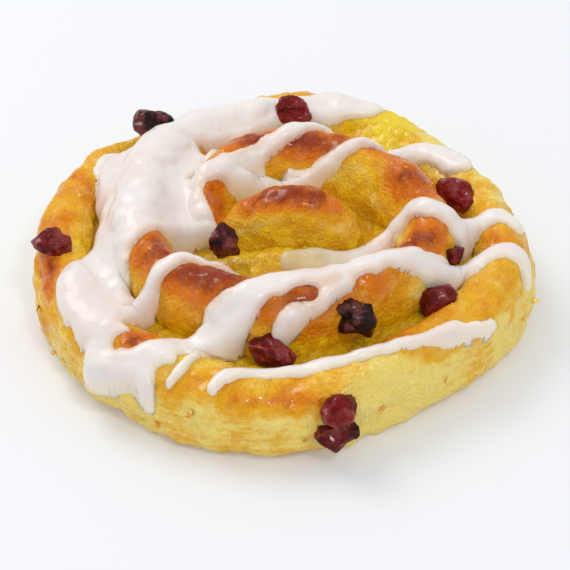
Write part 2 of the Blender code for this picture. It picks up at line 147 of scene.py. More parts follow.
# Raisins: centre, then length, width and thickness, then turns about X, Y and Z in degrees, then
# how red one is.
RAISINS = (
    ((-30.4, 35.6, 23.8), (9.8, 6.4, 5.6), (10, 8, 12), 0.15),
    ((-51.2, -3.8, 19.8), (8.6, 6.4, 5.6), (20, 12, -8), 0.6),
    ((2.4, 39.0, 24.8), (8.8, 5.8, 5.2), (18, 0, -20), 0.8),
    ((-13.2, -8.4, 23.8), (7.6, 6.0, 5.4), (20, 15, -25), 0.3),
    ((38.2, 12.0, 21.2), (9.6, 6.6, 5.6), (10, 20, -58), 0.9),
    ((36.4, -6.8, 19.4), (7.4, 5.6, 5.0), (0, 10, 80), 0.5),
    ((33.4, -19.6, 17.6), (8.6, 5.8, 5.2), (0, -20, 52), 0.6),
    ((15.2, -30.4, 21.4), (8.4, 7.2, 5.4), (48, 0, -30), 0.1),
    ((-3.0, -37.4, 17.2), (10.4, 5.8, 5.4), (20, 8, -32), 0.55),
    ((11.8, -50.8, 13.4), (8.6, 6.8, 5.4), (62, 0, 40), 0.75),
    ((11.4, -51.4, 7.2), (10.0, 6.2, 5.4), (80, 0, 8), 0.5),
)

# Icing: the pool's outline seen from above, then each ribbon's places and its width there.
POOL_OUTLINE = (
    *((-37, 31), (-43, 25), (-43, 14), (-41, 6), (-43, -4), (-48, -12), (-49.5, -19), (-44.5, -30)),
    *((-38, -36.6), (-32.5, -41), (-29.4, -46), (-27.4, -46), (-28, -41.4), (-32, -36), (-35, -28)),
    *((-31, -21), (-33, -14), (-29, -9), (-23, -4), (-15, 0), (-18, 8), (-13, 18), (-19, 26)),
    (-26, 36),
)
ICING_RIBBONS = (
    ((-38, -36, 10), (-30, -39, 7), (-23, -36.5, 6), (-17, -34.5, 7), (-12, -32, 8)),
    ((-31, -37, 5), (-27.5, -39.4, 3.4), (-24, -40.4, 2.2)),
    ((-33, 30, 8), (-25, 34, 12), (-14, 36, 11), (-3, 40.5, 8), (8, 43, 8), (20, 42, 6)),
    ((-22, 20, 7), (-12, 18, 5), (-4, 22.5, 4.6), (3, 27, 4.4), (9, 31, 3.6), (12, 34, 3)),
    ((-20, 13, 7), (-10, 15, 5.4), (-2, 17, 4), (6, 18.4, 3.4), (13.5, 20, 3.2), (20, 24, 3.6)),
    ((19, 23.4, 3.6), (26, 28, 4.2), (30.5, 28.6, 5), (34.5, 27, 5), (39, 23, 7)),
    ((-37, -27, 6), (-31.5, -24, 5), (-26, -20.4, 4.4), (-20, -18.4, 4.2), (-11, -19.4, 3.6)),
    ((-12, -19.5, 3.6), (-7, -20, 3)),
    ((-15, -33, 8), (-9, -30, 7.4), (-2, -26.6, 7), (4, -24.8, 6), (11, -23, 5.2), (18, -20.6, 5)),
    (
        *((16, -21.4, 5), (25, -17.4, 5), (35, -13.4, 4.4)),
        *((42.7, -9, 4.4), (47, -6.5, 4.4), (51, -6.5, 4)),
    ),
    ((50, -6.5, 4), (52.2, -8, 3.2), (52.8, -10.5, 2.6)),
    ((13, -25.4, 3.2), (9, -28.4, 2.8), (4.5, -31.2, 2.6), (0, -33, 2.6), (-3, -35, 2.2)),
)
# Where the icing stays clear of the crests, as ribbons of no icing.
ICING_GAPS = (
    ((-19.5, 14.5, 1.2), (-14, 19.5, 2.8), (-8, 25, 4.4), (-1, 30.8, 5.4), (6, 35.4, 4.4)),
    ((-35, -35, 2.4), (-31, -34.5, 4), (-26, -30.5, 6), (-20, -26.5, 7.6), (-12, -24.5, 5.4)),
    ((-31, -14, 4), (-27, -13.5, 8), (-22.5, -11.5, 5)),
    ((-30, -14.5, 6), (-31.5, -18.5, 3.4)),
    ((2, -29.6, 1.0), (5.6, -29.2, 2.0)),
    ((3, 21.6, 1.4), (9, 24, 2.6), (15, 26.6, 2.4)),
)
ICING_RIGHT = (
    (
        *((1, -10, 4.6), (7, -10, 6.6), (14, -8, 6.4), (21, -2.4, 5)),
        *((27, 0, 5), (32, -2, 5), (38, -2, 5)),
    ),
    ((36, -2, 5), (43, 3, 5), (48, 4, 4.6), (51.5, 1.5, 3)),
)
ICING_FRONT = (
    ((44.6, -25.4, 1.8), (42.6, -27, 2), (39.5, -28.7, 2.4), (36, -29.8, 3)),
    ((36, -29.8, 3), (32, -32, 3.2), (24, -36, 3.4), (16, -40, 3.4), (6, -42, 3.2)),
    ((8, -42, 3.2), (-1, -43, 3.2), (-8, -44, 3.2), (-13, -46, 3.2), (-15, -48, 2.6)),
)
ICING_DRIP = (((-19, -39, 2.2), (-22, -43, 2.4), (-24, -45, 2)),)
MERGING = 2.2  # how wide the fillet is where two ribbons run together
PARTING = 1.6  # and where a gap opens
EDGE_WAVE = 0.3  # how far its edge wavers
BESIDE = 9.0  # height of icing that hangs past the dough's edge
ICING_MARGIN = 4.0  # room for icing outside the dough's outline
TUCK = 0.0002  # metres: how far the icing's edge is below what it lies on
TUCK_WIDTH = 0.0007  # metres: how wide the tucked edge is
TUCK_REACH = 0.0015  # metres: the furthest that the edge is drawn down
DROP_FROM = 0.08  # metres: above everything that the icing falls on
LIFT_BELOW = 0.00015  # metres: how low a point may lie among its neighbours
CURVE_STEP = 0.45
RIBBON_WAVER = 0.16  # the share by which a ribbon's width wavers
SNAP = 0.55  # the share of the spacing within which a point is drawn onto the edge
RESTING = 0.0001  # metres: no crumb goes below the surface under the pastry
JELLY = (4.0, -10.0, 9.5, 5.0)  # x, y, half-width, half-depth of the clear start of a ribbon

CRUMBS_FROM = 10.0  # the height above which crumbs lie on the dough
CRUMB_NEST = (9.4, -53.0, 11.0, 2.4)  # x, y, z and reach of the crumbs between the front raisins
CRUMBS_IN_NEST = 90.0  # how many times as thickly they lie there

FLOOR_REACH = 4000.0
FLOOR_SHADE = 0.985  # how dark its faint clouds are
LIGHTS = (("key", (-0.42, 0.36, 0.72), 0.5), ("fill", (0.22, -0.42, 0.72), 0.16))  # in metres
LIGHT_AIM = (0.0, 0.0, 0.01)

CAMERA_TARGET = (0.0, -6.4, 10.0)
CAMERA_RISE = 40.0  # degrees above the floor
CAMERA_DISTANCE = 600.0
CAMERA_LENS = 170.5


def linear(red, green, blue):
    """A colour given in the 0 to 255 of a screen, as the linear colour that shaders take."""
    shares = [channel / 255 for channel in (red, green, blue)]
    return tuple(s / 12.92 if s <= 0.04045 else ((s + 0.055) / 1.055) ** 2.4 for s in shares)


def length(label, about, value):
    return FloatProperty(
        name=label, description=about, default=value, min=0.0, subtype="DISTANCE", unit="LENGTH"
    )


def colour(label, about, value):
    return FloatVectorProperty(
        name=label, description=about, default=value, min=0.0, max=1.0, size=3, subtype="COLOR"
    )


class SwirlDoughSettings(bpy.types.PropertyGroup):
    """Sizes and colours of the baked dough."""

    grain: length("Grain", "Finest detail at which the dough is fused", 0.00075)
    lump_size: length("Lump size", "Width of the uneven lumps that rise in baking", 0.011)
    lump_height: length("Lump height", "How far those lumps stand out", 0.0011)
    blister_size: length("Blister size", "Width of the blisters in the crust", 0.0028)
    blister_height: length("Blister height", "How far the blisters stand out", 0.00055)
    layer_pitch: length("Layer pitch", "Spacing of the dough's layers at the side", 0.0021)
    layer_depth: length("Layer depth", "How deep the grooves between layers are", 0.00032)
    curd_size: length("Curd size", "Width of the custard's lumps where it clings", 0.0013)
    curd_height: length("Curd height", "How far those stand out", 0.00028)
    pale: colour("Pale", "Colour of dough that has hardly browned", linear(252, 224, 120))
    golden: colour("Golden", "Colour of the usual crust", linear(242, 178, 34))
    brown: colour("Brown", "Colour of well-baked crests", linear(224, 120, 18))
    dark: colour("Dark", "Colour of the darkest blisters", linear(150, 52, 10))
    soaked: colour("Soaked", "Colour of dough that custard has soaked", linear(226, 160, 0))
    smeared: colour("Smeared", "Colour where custard clings to it", linear(252, 208, 6))
    bright: colour("Bright", "Colour where custard has run over it", linear(255, 222, 12))


class SwirlCustardSettings(bpy.types.PropertyGroup):
    """Sizes and colours of the custard."""

    spacing: length("Spacing", "Spacing of the points on its surface", 0.0006)
    curd_size: length("Curd size", "Width of the lumps in the custard", 0.0016)
    curd_height: length("Curd height", "How far they stand out", 0.0004)
    lump_size: length("Lump size", "Width of its larger swells", 0.007)
    lump_height: length("Lump height", "How far those stand out", 0.0005)
    bubble_size: length("Bubble size", "Width of the bubbles under its skin", 0.003)
    bubble_height: length("Bubble height", "How far those stand out", 0.0002)
    deep: colour("Deep", "Colour between the curds", linear(214, 152, 2))
    yellow: colour("Yellow", "Colour of the custard", linear(240, 196, 12))
    bright: colour("Bright", "Colour where it brims over in the light", linear(252, 218, 26))


class SwirlRaisinSettings(bpy.types.PropertyGroup):
    """Sizes and colours of the raisins."""

    fold_size: length("Fold size", "Spacing of the ridges", 0.0036)
    fold_depth: length("Fold depth", "How deep the skin sinks in between them", 0.0024)
    black: colour("Black", "Colour of the darkest skin", linear(20, 3, 3))
    red: colour("Red", "Colour of the skin that lets light through", linear(128, 9, 3))
    # Painted highlight: a lighter colour laid on top of the ridges.
    ridge_highlight: colour("Dry", "Colour on top of the ridges", linear(128, 38, 20))


class SwirlIcingSettings(bpy.types.PropertyGroup):
    """Sizes and colours of the poured icing."""

    spacing: length("Spacing", "Spacing of the points on its surface", 0.00042)
    thickness: length("Thickness", "Thickness of the icing away from its edge", 0.0016)
    edge: length("Edge", "Width of its rounded edge", 0.0026)
    underside: length("Underside", "How far its underside is sunk", 0.0009)
    fall: length("Fall", "Width over which it comes down to what it bridges", 0.0026)
    settle: IntProperty(
        name="Settle", description="How far it bridges the hollows below", default=110, min=0
    )
    white: colour("White", "Colour where it is thick", linear(233, 226, 221))
    # Painted shade: a rosy colour that the icing takes in broad random clouds, standing for soft
    # shading.
    rosy_shade: colour("Rosy", "Colour where it lies thinner over the crust", linear(231, 210, 203))
    cream: colour("Cream", "Colour at its edge over pale dough", linear(242, 228, 202))
    tinted: colour("Tinted", "Colour where brown crust shows through", linear(222, 186, 160))
    clear: colour("Clear", "Colour of the clear start of a ribbon", linear(236, 224, 176))


class SwirlCrumbSettings(bpy.types.PropertyGroup):
    """Sizes and number of the loose crumbs and flakes."""

    crumbs: FloatProperty(
        name="Crumbs", description="Crumbs on a square metre of dough", default=2500.0, min=0.0
    )
    flakes: FloatProperty(
        name="Flakes", description="Flakes on a square metre of side", default=3600.0, min=0.0
    )
    crumb_size: length("Crumb size", "Width of the largest crumb", 0.0011)
    flake_size: length("Flake size", "Width of the largest flake", 0.0028)
    seed: IntProperty(name="Seed", description="Changes where they lie", default=4, min=0)


class SwirlStageSettings(bpy.types.PropertyGroup):
    """The floor and the light."""

    floor: colour("Floor", "Colour of the floor", linear(220, 221, 224))
    glow: FloatProperty(name="Glow", description="The floor's own light", default=0.14, min=0.0)
    sky: FloatProperty(name="Sky", description="Light from all round", default=0.76, min=0.0)
    key: FloatProperty(
        name="Key", description="The large light", default=2.7, min=0.0, unit="POWER"
    )
    fill: FloatProperty(
        name="Fill", description="The light in front", default=1.1, min=0.0, unit="POWER"
    )


# Node trees


def socket_of(sockets, key):
    """A socket by number, or the one of that name which is in use."""
    if isinstance(key, int):
        return sockets[key]
    return next(found for found in sockets if found.name == key and found.enabled)


class Graph:
    """Adds nodes to a tree. An input given as another node's output is linked, any other is set."""

    def __init__(self, tree):
        self.tree = tree

    def node(self, kind, inputs=None, **settings):
        made = self.tree.nodes.new(kind)
        for key, value in settings.items():
            setattr(made, key, value)
        for key, value in (inputs or {}).items():
            socket = socket_of(made.inputs, key)
            if isinstance(value, bpy.types.NodeSocket):
                self.tree.links.new(value, socket)
            else:
                socket.default_value = value
        return made

    def math(self, operation, a, b=0.0, clamp=False):
        made = self.node("ShaderNodeMath", {0: a, 1: b}, operation=operation, use_clamp=clamp)
        return made.outputs[0]

    def vector(self, operation, a, b=(0.0, 0.0, 0.0)):
        return self.node("ShaderNodeVectorMath", {0: a, 1: b}, operation=operation).outputs[0]

    def scaled(self, a, factor):
        inputs = {0: a, "Scale": factor}
        return self.node("ShaderNodeVectorMath", inputs, operation="SCALE").outputs[0]

    def combine(self, x, y, z):
        return self.node("ShaderNodeCombineXYZ", {0: x, 1: y, 2: z}).outputs[0]

    def separate(self, vector):
        return self.node("ShaderNodeSeparateXYZ", {0: vector}).outputs

    def ramp(self, value, low, high, start=0.0, end=1.0):
        """value taken smoothly from low..high to start..end."""
        inputs = {"Value": value, 1: low, 2: high, 3: start, 4: end}
        made = self.node("ShaderNodeMapRange", inputs, interpolation_type="SMOOTHSTEP")
        return made.outputs[0]

    def blend(self, a, b, factor):
        """From colour a to colour b."""
        inputs = {"Factor": factor, "A": a, "B": b}
        made = self.node("ShaderNodeMix", inputs, data_type="RGBA")
        return socket_of(made.outputs, "Result")

    def noise(self, vector, size, detail=2.0, seed=0.0, roughness=0.5):
        """Noise whose blobs are about as wide as size."""
        scale = self.math("DIVIDE", 1.0, size)
        inputs = {"Vector": vector, "W": seed, "Scale": scale, "Detail": detail}
        inputs["Roughness"] = roughness
        return self.node("ShaderNodeTexNoise", inputs, noise_dimensions="4D").outputs[0]


def new_group(kind, name, inputs, outputs):
    """An empty node group: the group, its graph and its inputs by name."""
    tree = bpy.data.node_groups.new(name, kind)
    for label, socket, value in inputs:
        made = tree.interface.new_socket(
            label, in_out="INPUT", socket_type=f"NodeSocket{socket}"
        )
        if value is not None:
            made.default_value = value
    for label, socket in outputs:
        tree.interface.new_socket(label, in_out="OUTPUT", socket_type=f"NodeSocket{socket}")
    graph = Graph(tree)
    return tree, graph, graph.node("NodeGroupInput").outputs


def shape_tree(name, inputs):
    """An empty geometry tree that takes a shape and gives one."""
    inputs = (("Geometry", "Geometry", None), *inputs, ("Material", "Material", None))
    return new_group("GeometryNodeTree", name, inputs, (("Geometry", "Geometry"),))


def finish_tree(graph, geometry, material):
    """The end of every geometry tree: real, smooth and with its material."""
    real = graph.node("GeometryNodeRealizeInstances", {"Geometry": geometry})
    smooth_faces = graph.node("GeometryNodeSetShadeSmooth", {"Geometry": real.outputs[0]})
    finished = graph.node(
        "GeometryNodeSetMaterial", {"Geometry": smooth_faces.outputs[0], "Material": material}
    )
    graph.node("NodeGroupOutput", {0: finished.outputs[0]})


def named(graph, name):
    """A number kept on the shape's points, in a geometry tree."""
    return graph.node("GeometryNodeInputNamedAttribute", {"Name": name}).outputs[0]


def keep_on(graph, geometry, name, value):
    """The shape with a number kept on its points, in a geometry tree."""
    inputs = {"Geometry": geometry, "Name": name, "Value": value}
    return graph.node("GeometryNodeStoreNamedAttribute", inputs).outputs[0]


def run_tree(obj, tree, inputs):
    """Runs a geometry tree on the object and keeps the result as its plain mesh."""
    modifier = obj.modifiers.new(tree.name, "NODES")
    modifier.node_group = tree
    for item in tree.interface.items_tree:
        if item.name in inputs:
            modifier[item.identifier] = inputs[item.name]
    keep_result(obj)


def keep_result(obj):
    """Makes what the modifiers give the object's plain mesh."""
    graph = bpy.context.evaluated_depsgraph_get()
    evaluated = obj.evaluated_get(graph)
    mesh = bpy.data.meshes.new_from_object(
        evaluated, preserve_all_data_layers=True, depsgraph=graph
    )
    obj.modifiers.clear()
    obj.data = mesh
    if not mesh.polygons:
        raise RuntimeError(f"{obj.name} came out empty")


def add_object(name, points, faces):
    """An object from points in millimetres."""
    mesh = bpy.data.meshes.new(name)
    mesh.from_pydata((np.asarray(points) * MM).tolist(), [], [list(face) for face in faces])
    obj = bpy.data.objects.new(name, mesh)
    bpy.context.scene.collection.objects.link(obj)
    return obj


def points_of(mesh):
    """The mesh's points, in millimetres."""
    points = np.empty(len(mesh.vertices) * 3, np.float32)
    mesh.vertices.foreach_get("co", points)
    return points.reshape(-1, 3).astype(float) / MM


def set_points(mesh, points):
    mesh.vertices.foreach_set("co", (points * MM).astype(np.float32).ravel())
    mesh.update()


def store(mesh, name, values):
    """Keeps a number on each point of the mesh."""
    layer = mesh.attributes.new(name, "FLOAT", "POINT")
    layer.data.foreach_set("value", np.asarray(values, np.float32))


def face_outwards(mesh):
    bm = bmesh.new()
    bm.from_mesh(mesh)
    bmesh.ops.recalc_face_normals(bm, faces=bm.faces)
    bm.to_mesh(mesh)
    bm.free()


def settle_on_frame(obj, slot, *nodes):
    """The piece rides on the pastry's one body and stands for these solids."""
    face_outwards(obj.data)
    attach(obj, "root")
    if nodes:
        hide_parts(*nodes)


# The spiral, as the solids have it


def smooth(x):
    x = np.clip(x, 0.0, 1.0)
    return x * x * (3 - 2 * x)


def bearing(turns):
    """The direction from the centre to this place on the spiral."""
    angle = math.pi - 2 * math.pi * turns
    return np.cos(angle), np.sin(angle)


def ring_radius(half_width, half_depth, turns):
    """The radius of an ellipse with bulges, which fade towards the centre."""
    x, y = bearing(turns)
    bulge = sum(share * np.cos(2 * math.pi * count * (turns - at)) for count, share, at in BULGES)
    bulge = bulge * half_width / OUTLINE[0]
    return (1 + bulge) / np.hypot(x / half_width, y / half_depth)


def seam_radius(turns):
    """The radius of the line between two turns: a ring for each turn, with a step between rings."""
    rings = np.array((START, VALLEY, SEAM, OUTLINE, OUTLINE))
    ring = np.clip(np.floor(turns).astype(int), 0, 3)
    inner = ring_radius(rings[ring, 0], rings[ring, 1], turns)
    outer = ring_radius(rings[ring + 1, 0], rings[ring + 1, 1], turns)
    return inner + (outer - inner) * smooth((turns - ring) / STEP)


def crest_height(turns):
    """The height of the strip's top, which is lumpy and rises towards the back."""
    out = smooth((turns - 1) / STEP)
    start = CREST[0] + (CREST[1] - CREST[0]) * smooth(turns / STEP)
    level = start + (CREST[2] - CREST[1]) * out
    lean = CREST_LEAN[0] + (CREST_LEAN[1] - CREST_LEAN[0]) * out
    lumps = sum(height * np.sin(pace * turns + at) for height, pace, at in CREST_LUMPS)
    return level + lean * bearing(turns)[1] + lumps


def strip_width(turns):
    """(middle radius, half-width, fullness) of the strip."""
    outermost = smooth((turns - 1) / STEP)
    tail = smooth((turns - 2) / (STEP / 2))
    gap = SEAM_GAP + (TAIL_GAP - SEAM_GAP) * tail
    inner = seam_radius(turns) + gap / 2 * (1 + tail)
    outer = seam_radius(turns + 1) - gap / 2 * (1 - outermost)
    middle = (seam_radius(turns) + seam_radius(turns + 1)) / 2
    to_end = np.minimum(turns - STRIP_ENDS[0], STRIP_ENDS[1] - turns) * 2 * math.pi * middle
    share = np.clip(to_end / END_LENGTH, 0.0, 1.0)
    full = np.maximum(LEAST_FULLNESS, np.sqrt(share * (2 - share)))
    return (inner + outer) / 2, (outer - inner) / 2 * full, full


def strip_points():
    """Points round each section of the strip, in one row for each section."""
    turns = np.linspace(*STRIP_ENDS, STRIP_SECTIONS)[:, None]
    middle, half, full = strip_width(turns)
    narrow = np.minimum(1.0, half / FULL_HEIGHT_HALF_WIDTH)
    top = SHOULDER + (crest_height(turns) - SHOULDER) * narrow * full
    outer_shoulder = SHOULDER - SHOULDER_DROP * smooth((turns - 1) / STEP)
    foot = np.minimum(FOOT, half / 2)
    rise = np.linspace(0.0, 1.0, SIDE_STEPS)[None, :]
    tuck = 1 - np.sin(rise * math.pi / 2)
    angle = np.linspace(0.0, math.pi, CREST_STEPS)[None, :]
    low = np.where(angle < math.pi / 2, SHOULDER, outer_shoulder)
    radius = np.hstack(
        (
            middle - half + foot * INNER_FOOT * tuck,
            middle - half * np.cos(angle),
            (middle + half - foot * tuck)[:, ::-1],
        )
    )
    height = np.hstack(
        (
            FOOT_HEIGHT * rise + 0 * middle,
            low + (top - low) * np.sin(angle) ** SQUARENESS,
            FOOT_HEIGHT * rise[:, ::-1] + 0 * middle,
        )
    )
    x, y = bearing(turns)
    return np.stack((CENTRE[0] + radius * x, CENTRE[1] + radius * y, height), axis=2)


def place_on_strip(points):
    """(turns, across, core) of each point: across is -1 to 1 over the strip's width."""
    x = points[:, 0] - CENTRE[0]
    y = points[:, 1] - CENTRE[1]
    first = (math.pi - np.arctan2(y, x)) / (2 * math.pi) % 1.0
    radius = np.hypot(x, y)
    turns = first.copy()
    for added in (1, 2):
        further = first + added
        reached = (radius >= seam_radius(further)) & (further <= STRIP_ENDS[1] + 0.01)
        turns = np.where(reached, further, turns)
    middle, half, _ = strip_width(turns)
    core = radius < seam_radius(first)
    return turns, (radius - middle) / np.maximum(half, 1.0), core


# Looks that the materials share


def mottle_group():
    """A mask of soft blobs, for colour and gloss that vary over a surface."""
    tree, graph, given = new_group(
        "ShaderNodeTree",
        "mottle",
        (
            ("Size", "Float", 0.002),
            ("Detail", "Float", 3.0),
            ("Flatten", "Float", 1.0),
            ("Low", "Float", 0.35),
            ("High", "Float", 0.65),
            ("Seed", "Float", 0.0),
        ),
        (("Mask", "Float"),),
    )
    place = graph.separate(graph.node("ShaderNodeTexCoord").outputs["Object"])
    along = [graph.math("MULTIPLY", place[axis], given["Flatten"]) for axis in (0, 1)]
    blobs = graph.noise(
        graph.combine(along[0], along[1], place[2]), given["Size"], given["Detail"], given["Seed"]
    )
    graph.node("NodeGroupOutput", {0: graph.ramp(blobs, given["Low"], given["High"])})
    return tree


def browning_group():
    """From pale through golden and brown to dark, by how far the crust has baked."""
    inputs = [("Baked", "Float", 0.3)]
    inputs += [(label, "Color", (1, 1, 1, 1)) for label in ("Pale", "Golden", "Brown", "Dark")]
    tree, graph, given = new_group("ShaderNodeTree", "browning", inputs, (("Colour", "Color"),))
    stage = graph.blend(given["Pale"], given["Golden"], graph.ramp(given["Baked"], 0.0, 0.38))
    stage = graph.blend(stage, given["Brown"], graph.ramp(given["Baked"], 0.34, 0.78))
    stage = graph.blend(stage, given["Dark"], graph.ramp(given["Baked"], 0.76, 1.2))
    graph.node("NodeGroupOutput", {0: stage})
    return tree


def shared_group(name):
    makers = {"mottle": mottle_group, "browning": browning_group}
    return bpy.data.node_groups.get(name) or makers[name]()


def mottle(graph, size, detail=3.0, low=0.35, high=0.65, flatten=1.0, seed=0.0):
    inputs = {"Size": size, "Detail": detail, "Low": low, "High": high}
    inputs |= {"Flatten": flatten, "Seed": seed}
    made = graph.node("ShaderNodeGroup", node_tree=shared_group("mottle"))
    for key, value in inputs.items():
        made.inputs[key].default_value = value
    return made.outputs[0]


def kept(graph, name):
    """A number kept on the points of the piece, in a material."""
    made = graph.node("ShaderNodeAttribute", attribute_name=name)
    return made.outputs["Fac"]


def new_material(name, **even):
    """(material, graph, shader): even holds the values that are the same all over."""
    material = bpy.data.materials.new(name)
    material.use_nodes = True
    graph = Graph(material.node_tree)
    shader = material.node_tree.nodes["Principled BSDF"]
    for key, value in even.items():
        shader.inputs[key.replace("_", " ")].default_value = value
    return material, graph, shader


def connect(graph, shader, **links):
    for key, value in links.items():
        graph.tree.links.new(value, shader.inputs[key.replace("_", " ")])


def bumped(graph, height, distance, strength=1.0):
    inputs = {"Height": height, "Distance": distance, "Strength": strength}
    return graph.node("ShaderNodeBump", inputs).outputs[0]


def total(graph, *terms):
    """The sum of (value, factor) pairs."""
    added = 0.0
    for value, factor in terms:
        added = graph.math("ADD", graph.math("MULTIPLY", value, factor), added)
    return added


def opaque(value):
    return (*value, 1.0)


def nearness(x, y, at_x, at_y, half_width, half_depth):
    """1 at the middle of a soft oval patch, falling to 0 around it."""
    return np.exp(-(((x - at_x) / half_width) ** 2) - ((y - at_y) / half_depth) ** 2)


# The dough


def dough_material(settings):
    material, graph, shader = new_material(
        "baked_dough",
        Subsurface_Weight=0.12,
        Subsurface_Radius=(1.0, 0.45, 0.14),
        Subsurface_Scale=0.0022,
        Specular_IOR_Level=0.1,
        Coat_Roughness=0.1,
    )
    broad = mottle(graph, 0.0065, 3.0, 0.25, 0.75)
    patchy = mottle(graph, 0.0021, 3.0, 0.25, 0.75, seed=3.0)
    fine = mottle(graph, 0.0007, 4.0, 0.3, 0.7, seed=7.0)
    streaks = mottle(graph, 0.0011, 4.0, 0.34, 0.66, flatten=0.12, seed=11.0)
    toast = kept(graph, "toast")
    soaked = kept(graph, "soaked")
    side = kept(graph, "side")
    # The browning carries painted light and painted shade from a few patches.
    baked = total(graph, (toast, 1.0), (broad, 0.3), (patchy, 0.18), (fine, 0.08))
    baked = graph.math("SUBTRACT", baked, 0.26)
    along_rim = total(graph, (side, 0.7), (kept(graph, "rim"), 0.5))
    layered = graph.math("MULTIPLY", graph.math("SUBTRACT", streaks, 0.5), along_rim)
    baked = graph.math("ADD", baked, graph.math("MULTIPLY", layered, 0.16))
    made = graph.node("ShaderNodeGroup", node_tree=shared_group("browning"))
    for label in ("pale", "golden", "brown", "dark"):
        made.inputs[label.title()].default_value = opaque(getattr(settings, label))
    graph.tree.links.new(baked, made.inputs["Baked"])
    custard = graph.blend(opaque(settings.soaked), opaque(settings.smeared), patchy)
    custard = graph.blend(custard, opaque(settings.bright), kept(graph, "bright"))
    wetness = graph.ramp(total(graph, (soaked, 1.0), (patchy, 0.25)), 0.3, 0.95, 0.0, 0.92)
    tint = graph.blend(made.outputs[0], custard, wetness)
    glazed = mottle(graph, 0.003, 4.0, 0.42, 0.62, seed=15.0)
    gloss = total(graph, (glazed, 0.65), (soaked, 0.22), (toast, 0.1))
    dull = graph.math("SUBTRACT", 0.5, total(graph, (soaked, 0.14), (patchy, 0.12)))
    height = total(graph, (patchy, 0.5), (fine, 0.7), (streaks, 0.14))
    connect(
        graph,
        shader,
        Base_Color=tint,
        Roughness=dull,
        Coat_Weight=graph.math("ADD", gloss, 0.01, clamp=True),
        Normal=bumped(graph, height, 0.00042),
    )
    return material


def relief_tree():
    """Lumps, blisters, layers and grain, each raised along the surface's own direction."""
    tree, graph, given = shape_tree(
        "pastry_relief",
        (
            ("Lump size", "Float", 0.01),
            ("Lump height", "Float", 0.001),
            ("Blister size", "Float", 0.003),
            ("Blister height", "Float", 0.0004),
            ("Layer pitch", "Float", 0.002),
            ("Layer depth", "Float", 0.0005),
            ("Grain size", "Float", 0.0014),
            ("Grain height", "Float", 0.0004),
        ),
    )
    place = graph.node("GeometryNodeInputPosition").outputs[0]
    x, y, z = graph.separate(place)
    lumps = graph.noise(place, given["Lump size"], 1.0, 1.0)
    blisters = graph.noise(place, given["Blister size"], 3.0, 2.0)
    wander = graph.noise(place, 0.02, 1.0, 5.0)
    level = graph.math("ADD", z, graph.math("MULTIPLY", wander, 0.006))
    flat = [graph.math("MULTIPLY", axis, 0.07) for axis in (x, y)]
    layers = graph.noise(graph.combine(flat[0], flat[1], level), given["Layer pitch"], 2.0, 3.0)
    grain = graph.noise(place, given["Grain size"], 2.0, 4.0)
    raised = 0.0
    for field, height, mask in (
        (lumps, "Lump height", None),
        (blisters, "Blister height", None),
        (layers, "Layer depth", "side"),
        (grain, "Grain height", "soaked"),
    ):
        centred = graph.math("MULTIPLY", graph.math("SUBTRACT", field, 0.5), 4.0)
        term = graph.math("MULTIPLY", centred, given[height])
        if mask:
            term = graph.math("MULTIPLY", term, named(graph, mask))
        raised = graph.math("ADD", term, raised)
    offset = graph.scaled(graph.node("GeometryNodeInputNormal").outputs[0], raised)
    moved = graph.node(
        "GeometryNodeSetPosition", {"Geometry": given["Geometry"], "Offset": offset}
    )
    finish_tree(graph, moved.outputs[0], given["Material"])
    return tree


def bake_masks(mesh):
    """Browning with some painted light and shade, soaking and side masks on each point of the
    dough.
    """
    points = points_of(mesh)
    turns, across, core = place_on_strip(points)
    z = points[:, 2]
    crest = np.where(core, LUMP_PLACE[2] + LUMP_SIZE[2], crest_height(turns))
    rim = smooth((turns - 1.05) / 0.2) * ~core
    crown = smooth((z - (crest - 8.0)) / 8.0)
    toast = crown * (0.5 - 0.34 * rim) + 0.14 + 0.04 * rim
    groove = custard_level(points[:, 0], points[:, 1])
    soaked = smooth((groove + 5.0 - z) / 5.0) * (1 - rim * smooth((across + 0.2) / 0.3))
    side = rim * smooth((across - 0.45) / 0.3) * smooth((15.0 - z) / 4.0)
    toast -= 0.16 * side
    # Some patches add painted light or painted shade to the browning, besides real browning and
    # soaking.
    for *patch, baked, wet in PATCHES:
        near = nearness(points[:, 0], points[:, 1], *patch)
        toast += baked * near
        soaked += wet * near
    store(mesh, "toast", np.clip(toast, -0.2, 1.1))
    store(mesh, "soaked", np.clip(soaked, 0.0, 1.0))
    store(mesh, "side", side)
    store(mesh, "rim", rim)
    store(mesh, "bright", nearness(points[:, 0], points[:, 1], *BRIM))


